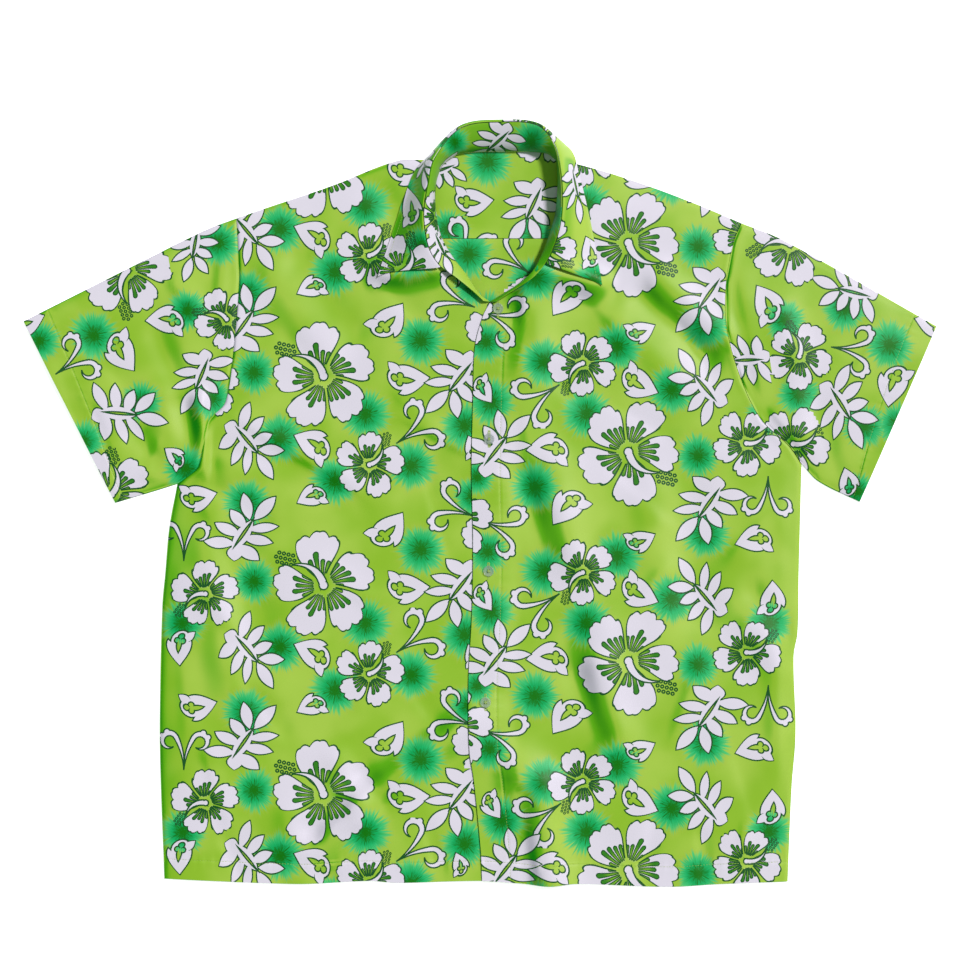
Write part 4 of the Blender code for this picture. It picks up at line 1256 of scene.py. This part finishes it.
def make_buttonholes(material):
    """A worked buttonhole under each button, up and down the stand."""
    builder = bmesh.new()
    for x, y in BUTTONS:
        for side in (-1, 1):
            for up in np.linspace(-8.2, 8.2, 34):
                at = x + side * 0.85, y + up
                z = front_top(*at) + 0.1
                add_stitch(builder, (*at, z), (1, 0.12 * side, 0), 1.5, 0.5)
        for up in (-8.6, 8.6):
            z = front_top(x, y + up) + 0.1
            for offset in (-0.25, 0.25):
                add_stitch(builder, (x, y + up + offset, z), (1, 0, 0), 3.0, 0.5)
    show_sewing("buttonholes", builder, material)


def button_mesh():
    """A moulded button: a raised rim, a dished face and four holes."""
    # Height of the outside at each distance in from the rim
    profile = [(BUTTON_RADIUS, 0), (0.9, 0), (0.3, 0.25), (0, 0.9), (0, 1.7), (0.35, 2.35), (0.9, 2.6),
               (1.4, 2.45), (2.0, 2.0), (3.0, 1.85), (BUTTON_RADIUS, 1.8)]
    builder = bmesh.new()
    verts = [builder.verts.new((BUTTON_RADIUS - inward, 0, z)) for inward, z in profile]
    edges = [builder.edges.new(pair) for pair in zip(verts, verts[1:])]
    bmesh.ops.spin(builder, geom=verts + edges, axis=(0, 0, 1), cent=(0, 0, 0), steps=40, angle=math.tau,
                   use_merge=True, use_duplicate=False)
    bmesh.ops.remove_doubles(builder, verts=builder.verts, dist=0.001)
    bmesh.ops.recalc_face_normals(builder, faces=builder.faces)
    solid = finished(builder, "button")
    builder = bmesh.new()
    for x, y in ((-1.2, -1.2), (1.2, -1.2), (-1.2, 1.2), (1.2, 1.2)):
        bmesh.ops.create_cone(builder, cap_ends=True, segments=14, radius1=0.7, radius2=0.7, depth=8,
                              matrix=Matrix.Translation((x, y, 1)))
    body = placed("body", solid)
    cutter = placed("cutter", finished(builder, "holes"))
    cut = body.modifiers.new("holes", "BOOLEAN")
    cut.operation = "DIFFERENCE"
    cut.solver = "EXACT"
    cut.object = cutter
    bpy.context.view_layer.update()
    drilled = bpy.data.meshes.new_from_object(body.evaluated_get(bpy.context.evaluated_depsgraph_get()))
    for thing in (body, cutter):
        bpy.data.objects.remove(thing)
    return drilled


def make_buttons(material, thread):
    """The four buttons, each with its crossed thread."""
    drilled = button_mesh()
    rows = bmesh.new()
    for number, (x, y) in enumerate(BUTTONS, 1):
        near = np.array([-BUTTON_RADIUS, 0, BUTTON_RADIUS])
        around = np.meshgrid(x + near, y + near)
        base = max(solid_left_height(*around).max() + 0.3, left_front_height(*around).max() + 0.1)
        mesh = drilled.copy()
        mesh.transform(Matrix.Translation((x, y, base)))
        mesh.transform(Matrix.Scale(MM, 4))
        button = show(f"button_{number}_moulded", mesh, f"button_{number}", material)
        button.data.shade_flat()
        for polygon in button.data.polygons:
            polygon.use_smooth = abs(polygon.normal.z) < 0.98
        for turn in (45, 135):
            run = (math.cos(math.radians(turn)), math.sin(math.radians(turn)), 0)
            for offset in (-0.3, 0.3):
                at = (x - run[1] * offset, y + run[0] * offset, base + 1.95)
                add_stitch(rows, at, run, 3.6, 0.5)
    show_sewing("button_thread", rows, thread)


thread = plain_finish("lime_thread", rgb(178, 208, 100), {"Roughness": 0.7})
clear_plastic = mottled("clear_button_plastic", 260.0, rgb(150, 172, 160), rgb(196, 208, 204),
                        {"Roughness": 0.18, "Alpha": 0.3})
sew("stitching", [
    hem_line(-328, -1, right_front_height), hem_line(4, 320, left_front_height), stand_line(),
    cuff_line(-1), cuff_line(1), neck_line(band_points()[0]), leaf_line(leaf_points())], thread)
make_buttonholes(thread)
make_buttons(clear_plastic, thread)

# ---- stage --------------------------------------------------------------------------------------

builder = bmesh.new()
bmesh.ops.create_grid(builder, x_segments=1, y_segments=1, size=12.0)
floor_mesh = finished(builder, "floor")
floor = placed("floor", floor_mesh)
floor_mesh.transform(Matrix.Translation((0, 0, -0.0002)))
floor_mesh.materials.append(plain_finish("white_paper", rgb(250, 250, 250), {
    "Roughness": 0.9, "Emission Color": (1, 1, 1, 1), "Emission Strength": 0.8}))

world = bpy.data.worlds.new("studio")
world.use_nodes = True
background = world.node_tree.nodes["Background"]
background.inputs["Color"].default_value = (0.76, 1.0, 0.76, 1)
background.inputs["Strength"].default_value = 0.28
bpy.context.scene.world = world

key = bpy.data.lights.new("window", "SUN")
key.energy = 3.25
key.color = (0.91, 0.83, 0.91)
key.angle = math.radians(8)
key_light = placed("window", key)
key_light.rotation_mode = "QUATERNION"
key_light.rotation_quaternion = Vector((0.44, 0.34, 0.83)).to_track_quat("Z", "Y")

camera_data = bpy.data.cameras.new("camera")
camera_data.sensor_width = 36
camera_data.lens = camera_data.sensor_width * CAMERA_HEIGHT / VIEW_WIDE
camera = placed("camera", camera_data)
camera.location = (0.00525, 0.01995, CAMERA_HEIGHT + 0.006)
bpy.context.scene.camera = camera
bpy.context.scene.view_settings.view_transform = "Standard"
